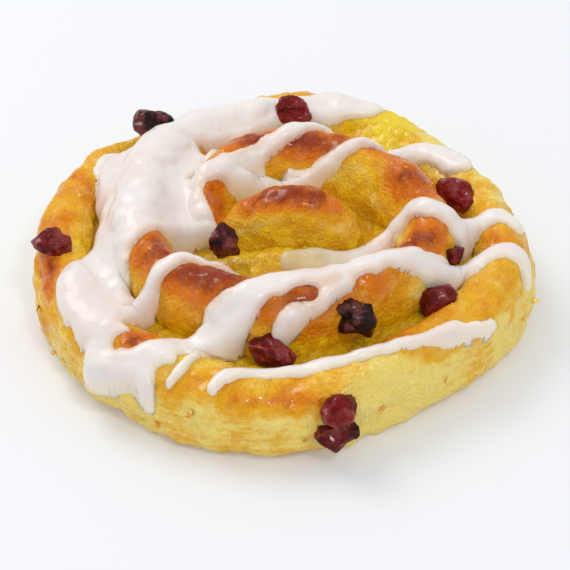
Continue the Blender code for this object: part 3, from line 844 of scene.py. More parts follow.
def make_dough(settings):
    rows = strip_points()
    count = rows.shape[1]
    index = np.arange(rows.shape[0] * count).reshape(rows.shape[:2])
    beside = np.roll(index, -1, axis=1)
    faces = np.stack((index[:-1], beside[:-1], beside[1:], index[1:]), axis=2).reshape(-1, 4)
    ends = [index[0].tolist(), index[-1, ::-1].tolist()]
    dough = add_object("swirl_dough", rows.reshape(-1, 3), [*faces.tolist(), *ends])
    bm = bmesh.new()
    around, along = LUMP_FACETS
    bmesh.ops.create_uvsphere(bm, u_segments=around, v_segments=along, radius=MM)
    bmesh.ops.scale(bm, vec=LUMP_SIZE, verts=bm.verts)
    bmesh.ops.translate(bm, vec=[place * MM for place in LUMP_PLACE], verts=bm.verts)
    for vert in bm.verts:
        vert.co.z = max(vert.co.z, 0.0)
    bm.from_mesh(dough.data)
    bmesh.ops.recalc_face_normals(bm, faces=bm.faces)
    bm.to_mesh(dough.data)
    bm.free()
    fuse = dough.modifiers.new("fuse", "REMESH")
    fuse.mode = "VOXEL"
    fuse.voxel_size = settings.grain
    soften = dough.modifiers.new("soften", "SMOOTH")
    soften.iterations = 4
    keep_result(dough)
    bake_masks(dough.data)
    inputs = {
        "Lump size": settings.lump_size,
        "Lump height": settings.lump_height,
        "Blister size": settings.blister_size,
        "Blister height": settings.blister_height,
        "Layer pitch": settings.layer_pitch,
        "Layer depth": settings.layer_depth,
        "Grain size": settings.curd_size,
        "Grain height": settings.curd_height,
        "Material": dough_material(settings),
    }
    run_tree(dough, relief_tree(), inputs)
    points = points_of(dough.data)
    points[:, 2] = np.maximum(points[:, 2], 0.0)
    set_points(dough.data, points)
    return dough


# The custard


def custard_level(x, y):
    """The height of the custard: banked up against the lump, brimming over at the back right."""
    height, reach = CUSTARD_MIDDLE
    level = CUSTARD_LEVEL + CUSTARD_RISE * y + height * np.exp(-((np.hypot(x, y) / reach) ** 4))
    for *bank, height in CUSTARD_BANKS:
        level = level + height * nearness(x, y, *bank)
    return level


def custard_material(settings):
    material, graph, shader = new_material(
        "wet_custard",
        Subsurface_Weight=0.3,
        Subsurface_Radius=(1.0, 0.7, 0.12),
        Subsurface_Scale=0.003,
        Specular_IOR_Level=0.3,
        Coat_Roughness=0.07,
    )
    broad = mottle(graph, 0.005, 3.0, 0.3, 0.7, seed=1.0)
    curds = mottle(graph, 0.0015, 4.0, 0.3, 0.7, seed=2.0)
    fine = mottle(graph, 0.0005, 3.0, 0.3, 0.7, seed=5.0)
    bright = total(graph, (kept(graph, "bright"), 1.0), (broad, 0.3), (curds, 0.3))
    clotted = total(graph, (curds, 0.6), (broad, 0.5))
    deep = graph.blend(opaque(settings.deep), opaque(settings.yellow), clotted)
    tint = graph.blend(deep, opaque(settings.bright), graph.ramp(bright, 0.3, 1.2))
    height = total(graph, (curds, 0.8), (fine, 0.3))
    connect(
        graph,
        shader,
        Base_Color=tint,
        Roughness=graph.math("SUBTRACT", 0.36, graph.math("MULTIPLY", curds, 0.14)),
        Coat_Weight=graph.math("ADD", graph.math("MULTIPLY", broad, 0.4), 0.3),
        Normal=bumped(graph, height, 0.0005),
    )
    return material


def make_custard(settings):
    """A round block whose top is fine enough to hold curds."""
    count = int(2 * CUSTARD_REACH * MM / settings.spacing)
    line = np.linspace(-CUSTARD_REACH, CUSTARD_REACH, count)
    x, y = np.meshgrid(line, line, indexing="ij")
    # The square grid is drawn in to a disc, so that its edge is a clean circle.
    radius = np.maximum(np.hypot(x, y), 1e-6)
    drawn = np.maximum(np.abs(x), np.abs(y)) / radius
    x, y = x * drawn, y * drawn
    *hollow, depth = HOLLOW
    level = custard_level(x, y) - depth * nearness(x, y, *hollow)
    top = np.stack((x, y, level), axis=2).reshape(-1, 3)
    index = np.arange(count * count).reshape(count, count)
    faces = np.stack((index[:-1, :-1], index[1:, :-1], index[1:, 1:], index[:-1, 1:]), axis=2)
    faces = faces.reshape(-1, 4).tolist()
    edge = [*index[:, 0], *index[-1, 1:], *index[-2::-1, -1], *index[0, -2:0:-1]]
    under = top[edge] * (1, 1, 0) + (0, 0, CUSTARD_BASE)
    for i in range(len(edge)):
        j = (i + 1) % len(edge)
        faces.append([int(edge[j]), int(edge[i]), len(top) + i, len(top) + j])
    faces.append([len(top) + i for i in range(len(edge))])
    custard = add_object("custard_filling", np.vstack((top, under)), faces)
    face_outwards(custard.data)
    points = points_of(custard.data)
    bright = sum(
        share * nearness(points[:, 0], points[:, 1], *patch) for *patch, share in CUSTARD_BRIGHT
    )
    store(custard.data, "bright", bright)
    store(custard.data, "soaked", (points[:, 2] > CURDS_FROM).astype(float))
    for name in ("side", "toast"):
        store(custard.data, name, np.zeros(len(points)))
    inputs = {
        "Lump size": settings.lump_size,
        "Lump height": settings.lump_height,
        "Blister size": settings.bubble_size,
        "Blister height": settings.bubble_height,
        "Layer depth": 0.0,
        "Grain size": settings.curd_size,
        "Grain height": settings.curd_height,
        "Material": custard_material(settings),
    }
    relief = bpy.data.node_groups.get("pastry_relief") or relief_tree()
    run_tree(custard, relief, inputs)
    return custard


# The raisins


def raisin_material(settings):
    material, graph, shader = new_material(
        "raisin_skin",
        Specular_IOR_Level=0.15,
        Coat_Roughness=0.06,
    )
    broad = mottle(graph, 0.003, 3.0, 0.3, 0.7, seed=4.0)
    fine = mottle(graph, 0.0005, 3.0, 0.3, 0.7, seed=6.0)
    ripe = total(graph, (kept(graph, "redness"), 1.0), (broad, 0.7))
    skin = graph.blend(opaque(settings.black), opaque(settings.red), graph.ramp(ripe, 0.25, 1.35))
    ridge = total(graph, (kept(graph, "ridge"), 1.0), (fine, 0.25))
    # Painted highlight: the ridge tops are drawn towards a lighter colour.
    skin = graph.blend(skin, opaque(settings.ridge_highlight), graph.ramp(ridge, 0.85, 1.35, 0.0, 0.25))
    connect(
        graph,
        shader,
        Base_Color=skin,
        Roughness=graph.math("ADD", graph.math("MULTIPLY", fine, 0.2), 0.3),
        Coat_Weight=graph.ramp(broad, 0.45, 0.8, 0.1, 0.8),
        Normal=bumped(graph, fine, 0.00012),
    )
    return material


def raisin_tree():
    """A shrivelled raisin: a ball whose skin sinks in, then sized, turned and put down."""
    tree, graph, given = shape_tree(
        "raisin",
        (
            ("Size", "Vector", (0.009, 0.006, 0.005)),
            ("Turn", "Rotation", (0, 0, 0)),
            ("Place", "Vector", (0, 0, 0)),
            ("Fold size", "Float", 0.004),
            ("Fold depth", "Float", 0.001),
            ("Redness", "Float", 0.5),
            ("Seed", "Float", 0.0),
        ),
    )
    ball = graph.node("GeometryNodeMeshIcoSphere", {"Radius": 0.5, "Subdivisions": 6})
    place = graph.node("GeometryNodeInputPosition").outputs[0]
    blunt = graph.math("SUBTRACT", 1.0, graph.math("MULTIPLY", graph.separate(place)[0], 0.35))
    egg = graph.vector("MULTIPLY", place, graph.combine(1.0, blunt, blunt))
    shaped = graph.node(
        "GeometryNodeSetPosition", {"Geometry": ball.outputs[0], "Position": egg}
    )
    sized = graph.node(
        "GeometryNodeTransform", {"Geometry": shaped.outputs[0], "Scale": given["Size"]}
    )
    here = graph.node("GeometryNodeInputPosition").outputs[0]
    # The skin sinks in between sharp ridges, which run along the raisin more than across it.
    stretched = graph.vector("MULTIPLY", here, (0.62, 1.0, 1.0))
    sunk = []
    for share, seed in ((1.0, 0.0), (0.45, 9.0)):
        inputs = {
            "Vector": stretched,
            "W": graph.math("ADD", given["Seed"], seed),
            "Scale": graph.math("DIVIDE", 1.0, graph.math("MULTIPLY", given["Fold size"], share)),
        }
        cells = graph.node("ShaderNodeTexVoronoi", inputs, voronoi_dimensions="4D")
        sunk.append(graph.math("POWER", cells.outputs[0], 1.6))
    ridge = total(graph, (sunk[0], 1.0), (sunk[1], 0.45))
    depth = graph.math("MULTIPLY", graph.math("SUBTRACT", ridge, 0.62), given["Fold depth"])
    swell = graph.noise(here, 0.004, 1.0, graph.math("ADD", given["Seed"], 3.0))
    depth = graph.math("ADD", depth, total(graph, (graph.math("SUBTRACT", swell, 0.5), 0.002)))
    offset = graph.scaled(graph.node("GeometryNodeInputNormal").outputs[0], depth)
    folded = graph.node(
        "GeometryNodeSetPosition", {"Geometry": sized.outputs[0], "Offset": offset}
    )
    skin = keep_on(graph, folded.outputs[0], "ridge", ridge)
    skin = keep_on(graph, skin, "redness", given["Redness"])
    inputs = {"Geometry": skin, "Translation": given["Place"], "Rotation": given["Turn"]}
    finish_tree(graph, graph.node("GeometryNodeTransform", inputs).outputs[0], given["Material"])
    return tree


def make_raisins(settings):
    tree = raisin_tree()
    material = raisin_material(settings)
    for number, (centre, size, turned, redness) in enumerate(RAISINS, 1):
        raisin = add_object(f"wrinkled_raisin_{number:02d}", [(0, 0, 0)], [])
        inputs = {
            "Size": [side * MM for side in size],
            "Turn": [math.radians(degrees) for degrees in turned],
            "Place": [place * MM for place in centre],
            "Fold size": settings.fold_size,
            "Fold depth": settings.fold_depth,
            "Redness": redness,
            "Seed": 10.0 * number,
            "Material": material,
        }
        run_tree(raisin, tree, inputs)
        settle_on_frame(raisin, "raisin", f"raisin_{number:02d}")


# The icing


def curve_through(places, closed=False):
    """Points on a smooth curve through the places, a little under half a millimetre apart."""
    places = [np.array(place, float) for place in places]
    if closed:
        ends = [places[-1], *places, places[0], places[1]]
    else:
        ends = [2 * places[0] - places[1], *places, 2 * places[-1] - places[-2]]
    points = []
    for a, b, c, d in zip(ends, ends[1:], ends[2:], ends[3:]):
        count = max(2, math.ceil(np.hypot(*(c - b)[:2]) / CURVE_STEP))
        for t in (step / count for step in range(count)):
            bend = (2 * a - 5 * b + 4 * c - d) * t**2 + (3 * b - a - 3 * c + d) * t**3
            points.append(b + ((c - a) * t + bend) / 2)
    return np.array(points if closed else [*points, places[-1]])


def from_ribbon(x, y, places, seed):
    """How far each point is outside a ribbon, whose width wavers."""
    away = np.full(x.shape, 1e3)
    for i, (px, py, width) in enumerate(curve_through(places)):
        waver = 1 + RIBBON_WAVER * noise.noise(Vector((i * 0.045, seed, 0.0)))
        away = np.minimum(away, np.hypot(x - px, y - py) - width * waver / 2)
    return away


def from_pool(x, y):
    """How far each point is outside the pool."""
    outline = curve_through(POOL_OUTLINE, closed=True)
    away = np.full(x.shape, 1e3)
    inside = np.zeros(x.shape, bool)
    for (ax, ay), (bx, by) in zip(outline, np.roll(outline, -1, axis=0)):
        away = np.minimum(away, np.hypot(x - ax, y - ay))
        if ay != by:
            crosses = (ay > y) != (by > y)
            inside ^= crosses & (x < ax + (bx - ax) * (y - ay) / (by - ay))
    return np.where(inside, -away, away)


def run_together(a, b, reach):
    """The nearer of two distances, with the corner between them filled in."""
    share = np.clip(0.5 + (b - a) / (2 * reach), 0.0, 1.0)
    return b + (a - b) * share - reach * share * (1 - share)


def from_icing(x, y, ribbons, pool):
    """How far each point is outside the icing, whose ribbons run together and whose gaps open."""
    away = from_pool(x, y) if pool else None
    for seed, places in enumerate(ribbons):
        ribbon = from_ribbon(x, y, places, seed + 0.5)
        away = ribbon if away is None else run_together(away, ribbon, MERGING)
    for seed, places in enumerate(ICING_GAPS if pool else ()):
        gap = -from_ribbon(x, y, places, seed + 20.5)
        away = -run_together(-away, -gap, PARTING)
    wave = EDGE_WAVE * (np.sin(x * 0.55 + 1.3 * np.sin(y * 0.31)) * np.sin(y * 0.62 + x * 0.2))
    return away + wave * (1.0 if pool else 0.5)


def icing_sheet(name, ribbons, spacing, pool=False):
    """The icing seen from above, as a flat sheet with the distance from its edge on each point."""
    reach = OUTLINE[0] + ICING_MARGIN
    line = np.arange(-reach, reach, spacing / MM)
    x, y = np.meshgrid(line, line, indexing="ij")
    away = from_icing(x, y, ribbons, pool)
    step = spacing / MM
    slope_x, slope_y = np.gradient(away, step)
    steep = np.maximum(np.hypot(slope_x, slope_y), 0.2)
    near_edge = np.abs(away) < SNAP * step
    pulled = np.where(near_edge, away / steep, 0.0)
    x = x - pulled * slope_x / steep
    y = y - pulled * slope_y / steep
    used = away < SNAP * step
    index = np.arange(x.size).reshape(x.shape)
    corners = [index[:-1, :-1], index[1:, :-1], index[1:, 1:], index[:-1, 1:]]
    corners = np.stack(corners, axis=2).reshape(-1, 4)
    filled = used.ravel()[corners]
    count = filled.sum(axis=1)
    faces = corners[count == 4].tolist()
    for corner, full in zip(corners[count == 3], filled[count == 3]):
        faces.append(corner[full].tolist())
    depth = np.where(near_edge, 0.0, np.maximum(-away, 0.0)).ravel()
    # Only the points in use are kept.
    wanted = np.unique([corner for face in faces for corner in face])
    renumbered = np.full(x.size, -1)
    renumbered[wanted] = np.arange(len(wanted))
    faces = [[int(renumbered[corner]) for corner in face] for face in faces]
    height = np.full(len(wanted), BESIDE)
    points = np.stack((x.ravel()[wanted], y.ravel()[wanted], height), axis=1)
    sheet = add_object(name, points, faces)
    face_outwards(sheet.data)
    if sum(face.normal.z for face in sheet.data.polygons[:200]) < 0:
        sheet.data.flip_normals()
    store(sheet.data, "depth", depth[wanted] * MM)
    return sheet


def moved_to(graph, geometry, place):
    inputs = {"Geometry": geometry, "Position": place}
    return graph.node("GeometryNodeSetPosition", inputs).outputs[0]


def height_now(graph):
    return graph.separate(graph.node("GeometryNodeInputPosition").outputs[0])[2]


def blurred_place(graph, rounds):
    """(x, y, z) of each point, with z blurred over its neighbours."""
    place = graph.node("GeometryNodeInputPosition").outputs[0]
    x, y, z = graph.separate(place)
    inputs = {"Value": z, "Iterations": rounds}
    blurred = graph.node("GeometryNodeBlurAttribute", inputs, data_type="FLOAT")
    return x, y, socket_of(blurred.outputs, "Value")


def laid_on_bed(graph, sheet, bed):
    """The sheet dropped onto the bed, with the bed's browning, painted light and shade included,
    and height kept on its points.
    """
    x, y, _ = graph.separate(graph.node("GeometryNodeInputPosition").outputs[0])
    ray = {
        "Target Geometry": bed,
        "Source Position": graph.combine(x, y, DROP_FROM),
        "Ray Direction": (0.0, 0.0, -1.0),
        "Ray Length": DROP_FROM,
    }
    hit = graph.node("GeometryNodeRaycast", ray)
    inputs = {
        "Geometry": sheet,
        "Selection": hit.outputs["Is Hit"],
        "Position": hit.outputs["Hit Position"],
    }
    laid = graph.node("GeometryNodeSetPosition", inputs).outputs[0]
    sample = {"Mesh": bed, "Value": named(graph, "toast")}
    beneath = graph.node("GeometryNodeSampleNearestSurface", sample)
    laid = keep_on(graph, laid, "beneath", socket_of(beneath.outputs, "Value"))
    laid = keep_on(graph, laid, "surface", height_now(graph))
    # A steep side would leave the edge ragged, so points that lie low are lifted to their
    # neighbours.
    for _ in range(3):
        x, y, level = blurred_place(graph, 4)
        now = graph.math("SUBTRACT", height_now(graph), LIFT_BELOW)
        laid = moved_to(graph, laid, graph.combine(x, y, graph.math("MAXIMUM", level, now)))
    return keep_on(graph, laid, "bed", height_now(graph))


def bridging(graph, laid, rounds, fall):
    """The sheet over the hollows, never below a crest, and down on the bed at its edge."""
    for _ in range(3):
        x, y, level = blurred_place(graph, rounds)
        level = graph.math("MAXIMUM", level, named(graph, "bed"))
        laid = moved_to(graph, laid, graph.combine(x, y, level))
    x, y, level = blurred_place(graph, 6)
    share = graph.ramp(named(graph, "depth"), 0.0, fall)
    drop = graph.math("SUBTRACT", level, named(graph, "bed"))
    level = graph.math("ADD", named(graph, "bed"), graph.math("MULTIPLY", drop, share))
    return moved_to(graph, laid, graph.combine(x, y, level))


def tucked_in(graph, laid):
    """The sheet hardly below what it lies on, except for its very edge, which is tucked under."""
    x, y, level = graph.separate(graph.node("GeometryNodeInputPosition").outputs[0])
    surface = named(graph, "surface")
    level = graph.math("MAXIMUM", level, graph.math("SUBTRACT", surface, TUCK))
    lowest = graph.math("MAXIMUM", surface, graph.math("SUBTRACT", level, TUCK_REACH))
    lowest = graph.math("SUBTRACT", lowest, TUCK)
    share = graph.ramp(named(graph, "depth"), 0.0, TUCK_WIDTH)
    rise = graph.math("MULTIPLY", graph.math("SUBTRACT", level, lowest), share)
    return moved_to(graph, laid, graph.combine(x, y, graph.math("ADD", lowest, rise)))


def rounded_thickness(graph, thickness, edge):
    """How thick the icing is: uneven, rounded off at its edge and thinner where it is clear."""
    place = graph.node("GeometryNodeInputPosition").outputs[0]
    inwards = graph.math("MINIMUM", graph.math("DIVIDE", named(graph, "depth"), edge), 1.0)
    out = graph.math("SUBTRACT", 1.0, inwards)
    curve = graph.math("SQRT", graph.math("SUBTRACT", 1.0, graph.math("MULTIPLY", out, out)))
    ripple = graph.math("MULTIPLY", graph.math("SUBTRACT", graph.noise(place, 0.006), 0.5), 0.9)
    thick = graph.math("MULTIPLY", thickness, graph.math("ADD", 1.0, ripple))
    thick = graph.math("MULTIPLY", thick, curve)
    flat = graph.math("SUBTRACT", 1.0, graph.math("MULTIPLY", named(graph, "jelly"), 0.5))
    return graph.math("MULTIPLY", thick, flat)


def thickened(graph, laid, thick, underside):
    """The sheet with its top raised, its underside sunk and a rim that joins the two."""
    x, y, level = graph.separate(graph.node("GeometryNodeInputPosition").outputs[0])
    under = graph.math("MINIMUM", level, named(graph, "bed"))
    under = graph.math("SUBTRACT", under, underside)
    sunk = moved_to(graph, laid, graph.combine(x, y, under))
    offset = graph.scaled(graph.node("GeometryNodeInputNormal").outputs[0], thick)
    inputs = {"Geometry": laid, "Offset": offset}
    raised = graph.node("GeometryNodeSetPosition", inputs).outputs[0]
    down = graph.combine(0.0, 0.0, -1.0)
    inputs = {"Mesh": raised, "Offset": down, "Offset Scale": underside}
    rim = graph.node("GeometryNodeExtrudeMesh", inputs, mode="EDGES")
    edges = graph.node("GeometryNodeInputMeshEdgeNeighbors").outputs[0]
    alone = graph.node(
        "FunctionNodeCompare", {2: edges, 3: 1}, data_type="INT", operation="EQUAL"
    )
    graph.tree.links.new(alone.outputs[0], rim.inputs["Selection"])
    underneath = graph.node("GeometryNodeFlipFaces", {"Mesh": sunk}).outputs[0]
    both = graph.node("GeometryNodeJoinGeometry")
    for piece in (rim.outputs[0], underneath):
        graph.tree.links.new(piece, both.inputs[0])
    inputs = {"Geometry": both.outputs[0], "Distance": 0.00001}
    return graph.node("GeometryNodeMergeByDistance", inputs).outputs[0]


def drape_tree():
    """Lays a sheet of icing on what is below it and gives it thickness with a rounded edge."""
    tree, graph, given = shape_tree(
        "icing_drape",
        (
            ("Bed", "Object", None),
            ("Thickness", "Float", 0.002),
            ("Edge", "Float", 0.002),
            ("Underside", "Float", 0.001),
            ("Fall", "Float", 0.0028),
            ("Settle", "Int", 80),
        ),
    )
    bed = graph.node(
        "GeometryNodeObjectInfo", {"Object": given["Bed"]}, transform_space="RELATIVE"
    ).outputs["Geometry"]
    laid = laid_on_bed(graph, given["Geometry"], bed)
    laid = bridging(graph, laid, given["Settle"], given["Fall"])
    laid = tucked_in(graph, laid)
    thick = rounded_thickness(graph, given["Thickness"], given["Edge"])
    closed = thickened(graph, laid, thick, given["Underside"])
    finish_tree(graph, closed, given["Material"])
    return tree


def icing_material(settings):
    material, graph, shader = new_material(
        "poured_icing",
        Subsurface_Weight=0.35,
        Subsurface_Radius=(1.0, 0.8, 0.62),
        Subsurface_Scale=0.0016,
        Specular_IOR_Level=0.35,
        Coat_Roughness=0.15,
    )
    broad = mottle(graph, 0.006, 2.0, 0.3, 0.7, seed=8.0)
    fine = mottle(graph, 0.0012, 3.0, 0.3, 0.7, seed=9.0)
    thin = graph.ramp(kept(graph, "depth"), 0.0001, 0.0017, 1.0, 0.0)
    thin = graph.math("MULTIPLY", thin, total(graph, (broad, 0.4), (fine, 0.1), (1.0, 0.55)))
    beneath = graph.ramp(kept(graph, "beneath"), 0.3, 0.9)
    # Painted soft shade: broad random clouds draw the white towards the rosy shade colour.
    shade_clouds = graph.ramp(mottle(graph, 0.014, 2.0, 0.3, 0.7, seed=21.0), 0.3, 1.0, 0.0, 0.55)
    edge = graph.blend(opaque(settings.cream), opaque(settings.tinted), beneath)
    tint = graph.blend(opaque(settings.white), opaque(settings.rosy_shade), shade_clouds)
    tint = graph.blend(tint, edge, thin)
    watery = graph.math("MULTIPLY", kept(graph, "jelly"), total(graph, (broad, 0.5), (1.0, 0.5)))
    tint = graph.blend(tint, opaque(settings.clear), watery)
    connect(
        graph,
        shader,
        Base_Color=tint,
        Alpha=graph.math("SUBTRACT", 1.0, graph.math("MULTIPLY", watery, 0.5)),
        Roughness=graph.math("ADD", graph.math("MULTIPLY", broad, 0.12), 0.3),
        Coat_Weight=graph.math("ADD", graph.math("MULTIPLY", fine, 0.1), 0.25),
        Normal=bumped(graph, total(graph, (broad, 1.0), (fine, 0.1)), 0.0004, 0.4),
    )
    return material


def make_icing(settings, bed):
    tree = drape_tree()
    material = icing_material(settings)
    for name, node, ribbons, pool in (
        ("icing_pool_and_strands", "icing", ICING_RIBBONS, True),
        ("icing_right_strand", "icing_right", ICING_RIGHT, False),
        ("icing_front_strand", "icing_front", ICING_FRONT, False),
        ("icing_small_drip", "icing_drip", ICING_DRIP, False),
    ):
        icing = icing_sheet(name, ribbons, settings.spacing, pool)
        points = points_of(icing.data)
        clear = nearness(points[:, 0], points[:, 1], *JELLY)
        store(icing.data, "jelly", clear if node == "icing_right" else 0 * clear)
        inputs = {
            "Bed": bed,
            "Thickness": settings.thickness,
            "Edge": settings.edge,
            "Underside": settings.underside,
            "Fall": settings.fall,
            "Settle": settings.settle,
            "Material": material,
        }
        run_tree(icing, tree, inputs)
        settle_on_frame(icing, "icing", node)


# Crumbs and flakes


def crumb_material(settings):
    material, graph, shader = new_material("crumb")
    blobs = mottle(graph, 0.0016, 3.0, 0.3, 0.7, seed=12.0)
    made = graph.node("ShaderNodeGroup", node_tree=shared_group("browning"))
    for label in ("pale", "golden", "brown", "dark"):
        made.inputs[label.title()].default_value = opaque(getattr(settings, label))
    graph.tree.links.new(graph.ramp(blobs, 0.0, 1.0, 0.0, 0.6), made.inputs["Baked"])
    connect(
        graph,
        shader,
        Base_Color=made.outputs[0],
        Roughness=graph.math("ADD", graph.math("MULTIPLY", blobs, 0.2), 0.45),
        Normal=bumped(graph, blobs, 0.0002),
    )
    return material


def scatter_tree(name, flat):
    """Bits strewn over a surface where its mask allows: round crumbs, or flat curled flakes."""
    tree, graph, given = shape_tree(
        name,
        (
            ("Density", "Float", 10000.0),
            ("Size", "Float", 0.001),
            ("Seed", "Int", 1),
        ),
    )
    mask = named(graph, "side") if flat else named(graph, "crumby")
    spread = graph.node(
        "GeometryNodeDistributePointsOnFaces",
        {
            "Mesh": given["Geometry"],
            "Density": graph.math("MULTIPLY", given["Density"], mask),
            "Seed": given["Seed"],
        },
    )
    if flat:
        made = graph.node(
            "GeometryNodeMeshGrid",
            {"Size X": 1.0, "Size Y": 0.45, "Vertices X": 12, "Vertices Y": 7},
        ).outputs[0]
        x, y, _ = graph.separate(graph.node("GeometryNodeInputPosition").outputs[0])
        ragged = graph.noise(graph.combine(x, y, 0.0), 0.3, 3.0)
        curl = total(graph, (graph.math("MULTIPLY", y, y), 1.4), (ragged, 0.25))
        wide = total(graph, (y, 1.0), (graph.math("SUBTRACT", ragged, 0.5), 0.7))
        bent = graph.node(
            "GeometryNodeSetPosition", {"Geometry": made, "Position": graph.combine(x, wide, curl)}
        ).outputs[0]
        bit = graph.node(
            "GeometryNodeExtrudeMesh", {"Mesh": bent, "Offset Scale": 0.07, "Individual": False}
        ).outputs[0]
    else:
        ball = graph.node("GeometryNodeMeshIcoSphere", {"Radius": 0.5, "Subdivisions": 3})
        place = graph.node("GeometryNodeInputPosition").outputs[0]
        rough = graph.math("SUBTRACT", graph.noise(place, 0.55, 2.0), 0.5)
        offset = graph.scaled(place, graph.math("MULTIPLY", rough, 2.4))
        bit = graph.node(
            "GeometryNodeSetPosition", {"Geometry": ball.outputs[0], "Offset": offset}
        ).outputs[0]
    spin = graph.node(
        "FunctionNodeRandomValue",
        {"Min": (0.0, 0.0, 0.0), "Max": (0.5 if flat else 6.3, 0.3 if flat else 6.3, 6.3)},
        data_type="FLOAT_VECTOR",
    )
    size = graph.node(
        "FunctionNodeRandomValue", {"Min": 0.35, "Max": 1.0, "Seed": 3}, data_type="FLOAT"
    )
    size = graph.math("MULTIPLY", socket_of(size.outputs, "Value"), given["Size"])
    turned = graph.node(
        "FunctionNodeRotateRotation",
        {
            "Rotation": spread.outputs["Rotation"],
            "Rotate By": socket_of(spin.outputs, "Value"),
        },
        rotation_space="LOCAL",
    )
    strewn = graph.node(
        "GeometryNodeInstanceOnPoints",
        {
            "Points": spread.outputs["Points"],
            "Instance": bit,
            "Rotation": turned.outputs[0] if flat else socket_of(spin.outputs, "Value"),
            "Scale": graph.combine(size, size, size),
        },
    ).outputs[0]
    real = graph.node("GeometryNodeRealizeInstances", {"Geometry": strewn}).outputs[0]
    here = graph.node("GeometryNodeInputPosition").outputs[0]
    above = graph.vector("MAXIMUM", here, (-1.0, -1.0, RESTING))
    rested = graph.node("GeometryNodeSetPosition", {"Geometry": real, "Position": above})
    finish_tree(graph, rested.outputs[0], given["Material"])
    return tree


def make_crumbs(settings, dough, dough_settings):
    material = crumb_material(dough_settings)
    for name, flat, density, size in (
        ("loose_crumbs", False, settings.crumbs, settings.crumb_size),
        ("peeled_flakes", True, settings.flakes, settings.flake_size),
    ):
        bits = dough.copy()
        bits.data = dough.data.copy()
        bits.name = name
        bpy.context.scene.collection.objects.link(bits)
        points = points_of(bits.data)
        normals = np.empty(len(points) * 3, np.float32)
        bits.data.vertices.foreach_get("normal", normals)
        up = normals.reshape(-1, 3)[:, 2]
        near = points - np.array(CRUMB_NEST[:3])
        between = np.exp(-((near**2).sum(axis=1)) / CRUMB_NEST[3] ** 2)
        upward = smooth((up - 0.2) / 0.3) * (points[:, 2] > CRUMBS_FROM)
        store(bits.data, "crumby", upward + CRUMBS_IN_NEST * between)
        inputs = {"Density": density, "Size": size, "Seed": settings.seed, "Material": material}
        run_tree(bits, scatter_tree(name, flat), inputs)
        settle_on_frame(bits, "dough")


# The stage


def area_light(name, place, size, power):
    lamp = bpy.data.lights.new(name, "AREA")
    lamp.shape = "DISK"
    lamp.size = size
    lamp.energy = power
    obj = bpy.data.objects.new(name, lamp)
    obj.location = place
    obj.rotation_euler = (Vector(LIGHT_AIM) - Vector(place)).to_track_quat("-Z", "Y").to_euler()
    bpy.context.scene.collection.objects.link(obj)


def make_stage(settings):
    low, high = -FLOOR_REACH, FLOOR_REACH
    corners = [(low, low, 0), (high, low, 0), (high, high, 0), (low, high, 0)]
    floor = add_object("floor", corners, [(0, 1, 2, 3)])
    material, graph, shader = new_material("pale_floor")
    cloud = mottle(graph, 0.25, 2.0, 0.2, 0.8)
    darker = [FLOOR_SHADE * channel for channel in settings.floor]
    tint = graph.blend(opaque(settings.floor), opaque(darker), cloud)
    connect(graph, shader, Base_Color=tint)
    shader.inputs["Roughness"].default_value = 0.75
    shader.inputs["Emission Color"].default_value = (0.96, 0.98, 1.0, 1.0)
    shader.inputs["Emission Strength"].default_value = settings.glow
    floor.data.materials.append(material)
    scene = bpy.context.scene
    scene.view_settings.view_transform = "Standard"
    world = bpy.data.worlds.new("soft_sky")
    world.use_nodes = True
    world.node_tree.nodes["Background"].inputs["Color"].default_value = (0.97, 0.98, 1.0, 1.0)
    world.node_tree.nodes["Background"].inputs["Strength"].default_value = settings.sky
    scene.world = world
    for name, place, size in LIGHTS:
        area_light(name, place, size, getattr(settings, name))
    camera = bpy.data.objects.new("camera", bpy.data.cameras.new("camera"))
    rise = math.radians(CAMERA_RISE)
    back = Vector((0.0, -math.cos(rise), math.sin(rise)))
    camera.location = (Vector(CAMERA_TARGET) + back * CAMERA_DISTANCE) * MM
    camera.rotation_euler = (math.pi / 2 - rise, 0.0, 0.0)
    camera.data.lens = CAMERA_LENS
    camera.data.clip_start = 0.01
    scene.collection.objects.link(camera)
    scene.camera = camera


# Operators and panel


class DANISH_OT_dough(bpy.types.Operator):
    """Build the baked spiral of dough"""

    bl_idname = "danish.dough"
    bl_label = "Dough"

    def execute(self, context):
        dough = make_dough(context.scene.swirl_dough)
        settle_on_frame(dough, "dough", "dough")
        return {"FINISHED"}


class DANISH_OT_custard(bpy.types.Operator):
    """Build the custard between the turns"""

    bl_idname = "danish.custard"
    bl_label = "Custard"

    def execute(self, context):
        custard = make_custard(context.scene.swirl_custard)
        settle_on_frame(custard, "custard", "custard")
        return {"FINISHED"}


class DANISH_OT_raisins(bpy.types.Operator):
    """Build the eleven wrinkled raisins"""

    bl_idname = "danish.raisins"
    bl_label = "Raisins"

    def execute(self, context):
        make_raisins(context.scene.swirl_raisins)
        return {"FINISHED"}


class DANISH_OT_icing(bpy.types.Operator):
    """Pour the icing over the dough and the custard"""

    bl_idname = "danish.icing"
    bl_label = "Icing"

    def execute(self, context):
        bed = bpy.data.objects.new("bed", bpy.data.meshes.new("bed"))
        context.scene.collection.objects.link(bed)
        joined = bmesh.new()
        for name in ("swirl_dough", "custard_filling"):
            if name not in bpy.data.objects:
                raise RuntimeError(f"{name} has to be built before the icing")
            joined.from_mesh(bpy.data.objects[name].data)
        joined.to_mesh(bed.data)
        joined.free()
        make_icing(context.scene.swirl_icing, bed)
        bpy.data.objects.remove(bed, do_unlink=True)
        return {"FINISHED"}


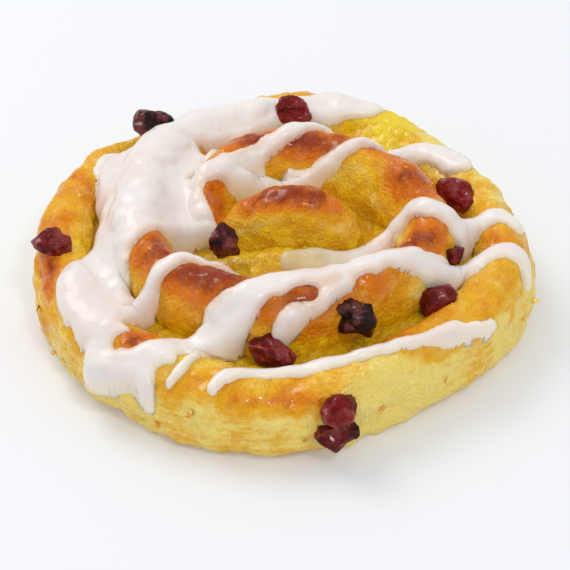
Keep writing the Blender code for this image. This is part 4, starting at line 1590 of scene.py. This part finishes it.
class DANISH_OT_crumbs(bpy.types.Operator):
    """Strew crumbs and peeled flakes over the dough"""

    bl_idname = "danish.crumbs"
    bl_label = "Crumbs"

    def execute(self, context):
        scene = context.scene
        if "swirl_dough" not in bpy.data.objects:
            raise RuntimeError("the dough has to be built before the crumbs")
        make_crumbs(scene.swirl_crumbs, bpy.data.objects["swirl_dough"], scene.swirl_dough)
        return {"FINISHED"}


class DANISH_OT_stage(bpy.types.Operator):
    """Set the pale floor, the soft light and the camera"""

    bl_idname = "danish.stage"
    bl_label = "Stage"

    def execute(self, context):
        make_stage(context.scene.swirl_stage)
        return {"FINISHED"}


STEPS = (
    ("swirl_dough", SwirlDoughSettings, DANISH_OT_dough),
    ("swirl_custard", SwirlCustardSettings, DANISH_OT_custard),
    ("swirl_raisins", SwirlRaisinSettings, DANISH_OT_raisins),
    ("swirl_icing", SwirlIcingSettings, DANISH_OT_icing),
    ("swirl_crumbs", SwirlCrumbSettings, DANISH_OT_crumbs),
    ("swirl_stage", SwirlStageSettings, DANISH_OT_stage),
)


class DANISH_PT_swirl(bpy.types.Panel):
    """The sizes and colours of the swirl, with a button for each step"""

    bl_idname = "DANISH_PT_swirl"
    bl_label = "Danish Swirl"
    bl_space_type = "VIEW_3D"
    bl_region_type = "UI"
    bl_category = "Danish Swirl"

    def draw(self, context):
        for name, settings, operator in STEPS:
            box = self.layout.box()
            box.operator(operator.bl_idname)
            for key in settings.__annotations__:
                box.prop(getattr(context.scene, name), key)


def register():
    for name, settings, operator in STEPS:
        bpy.utils.register_class(settings)
        bpy.utils.register_class(operator)
        setattr(bpy.types.Scene, name, PointerProperty(type=settings))
    bpy.utils.register_class(DANISH_PT_swirl)


def unregister():
    bpy.utils.unregister_class(DANISH_PT_swirl)
    for name, settings, operator in reversed(STEPS):
        delattr(bpy.types.Scene, name)
        bpy.utils.unregister_class(operator)
        bpy.utils.unregister_class(settings)


def main():
    register()
    bpy.ops.danish.dough()
    bpy.ops.danish.custard()
    bpy.ops.danish.raisins()
    bpy.ops.danish.icing()
    bpy.ops.danish.crumbs()
    bpy.ops.danish.stage()


if __name__ == "__main__":
    main()
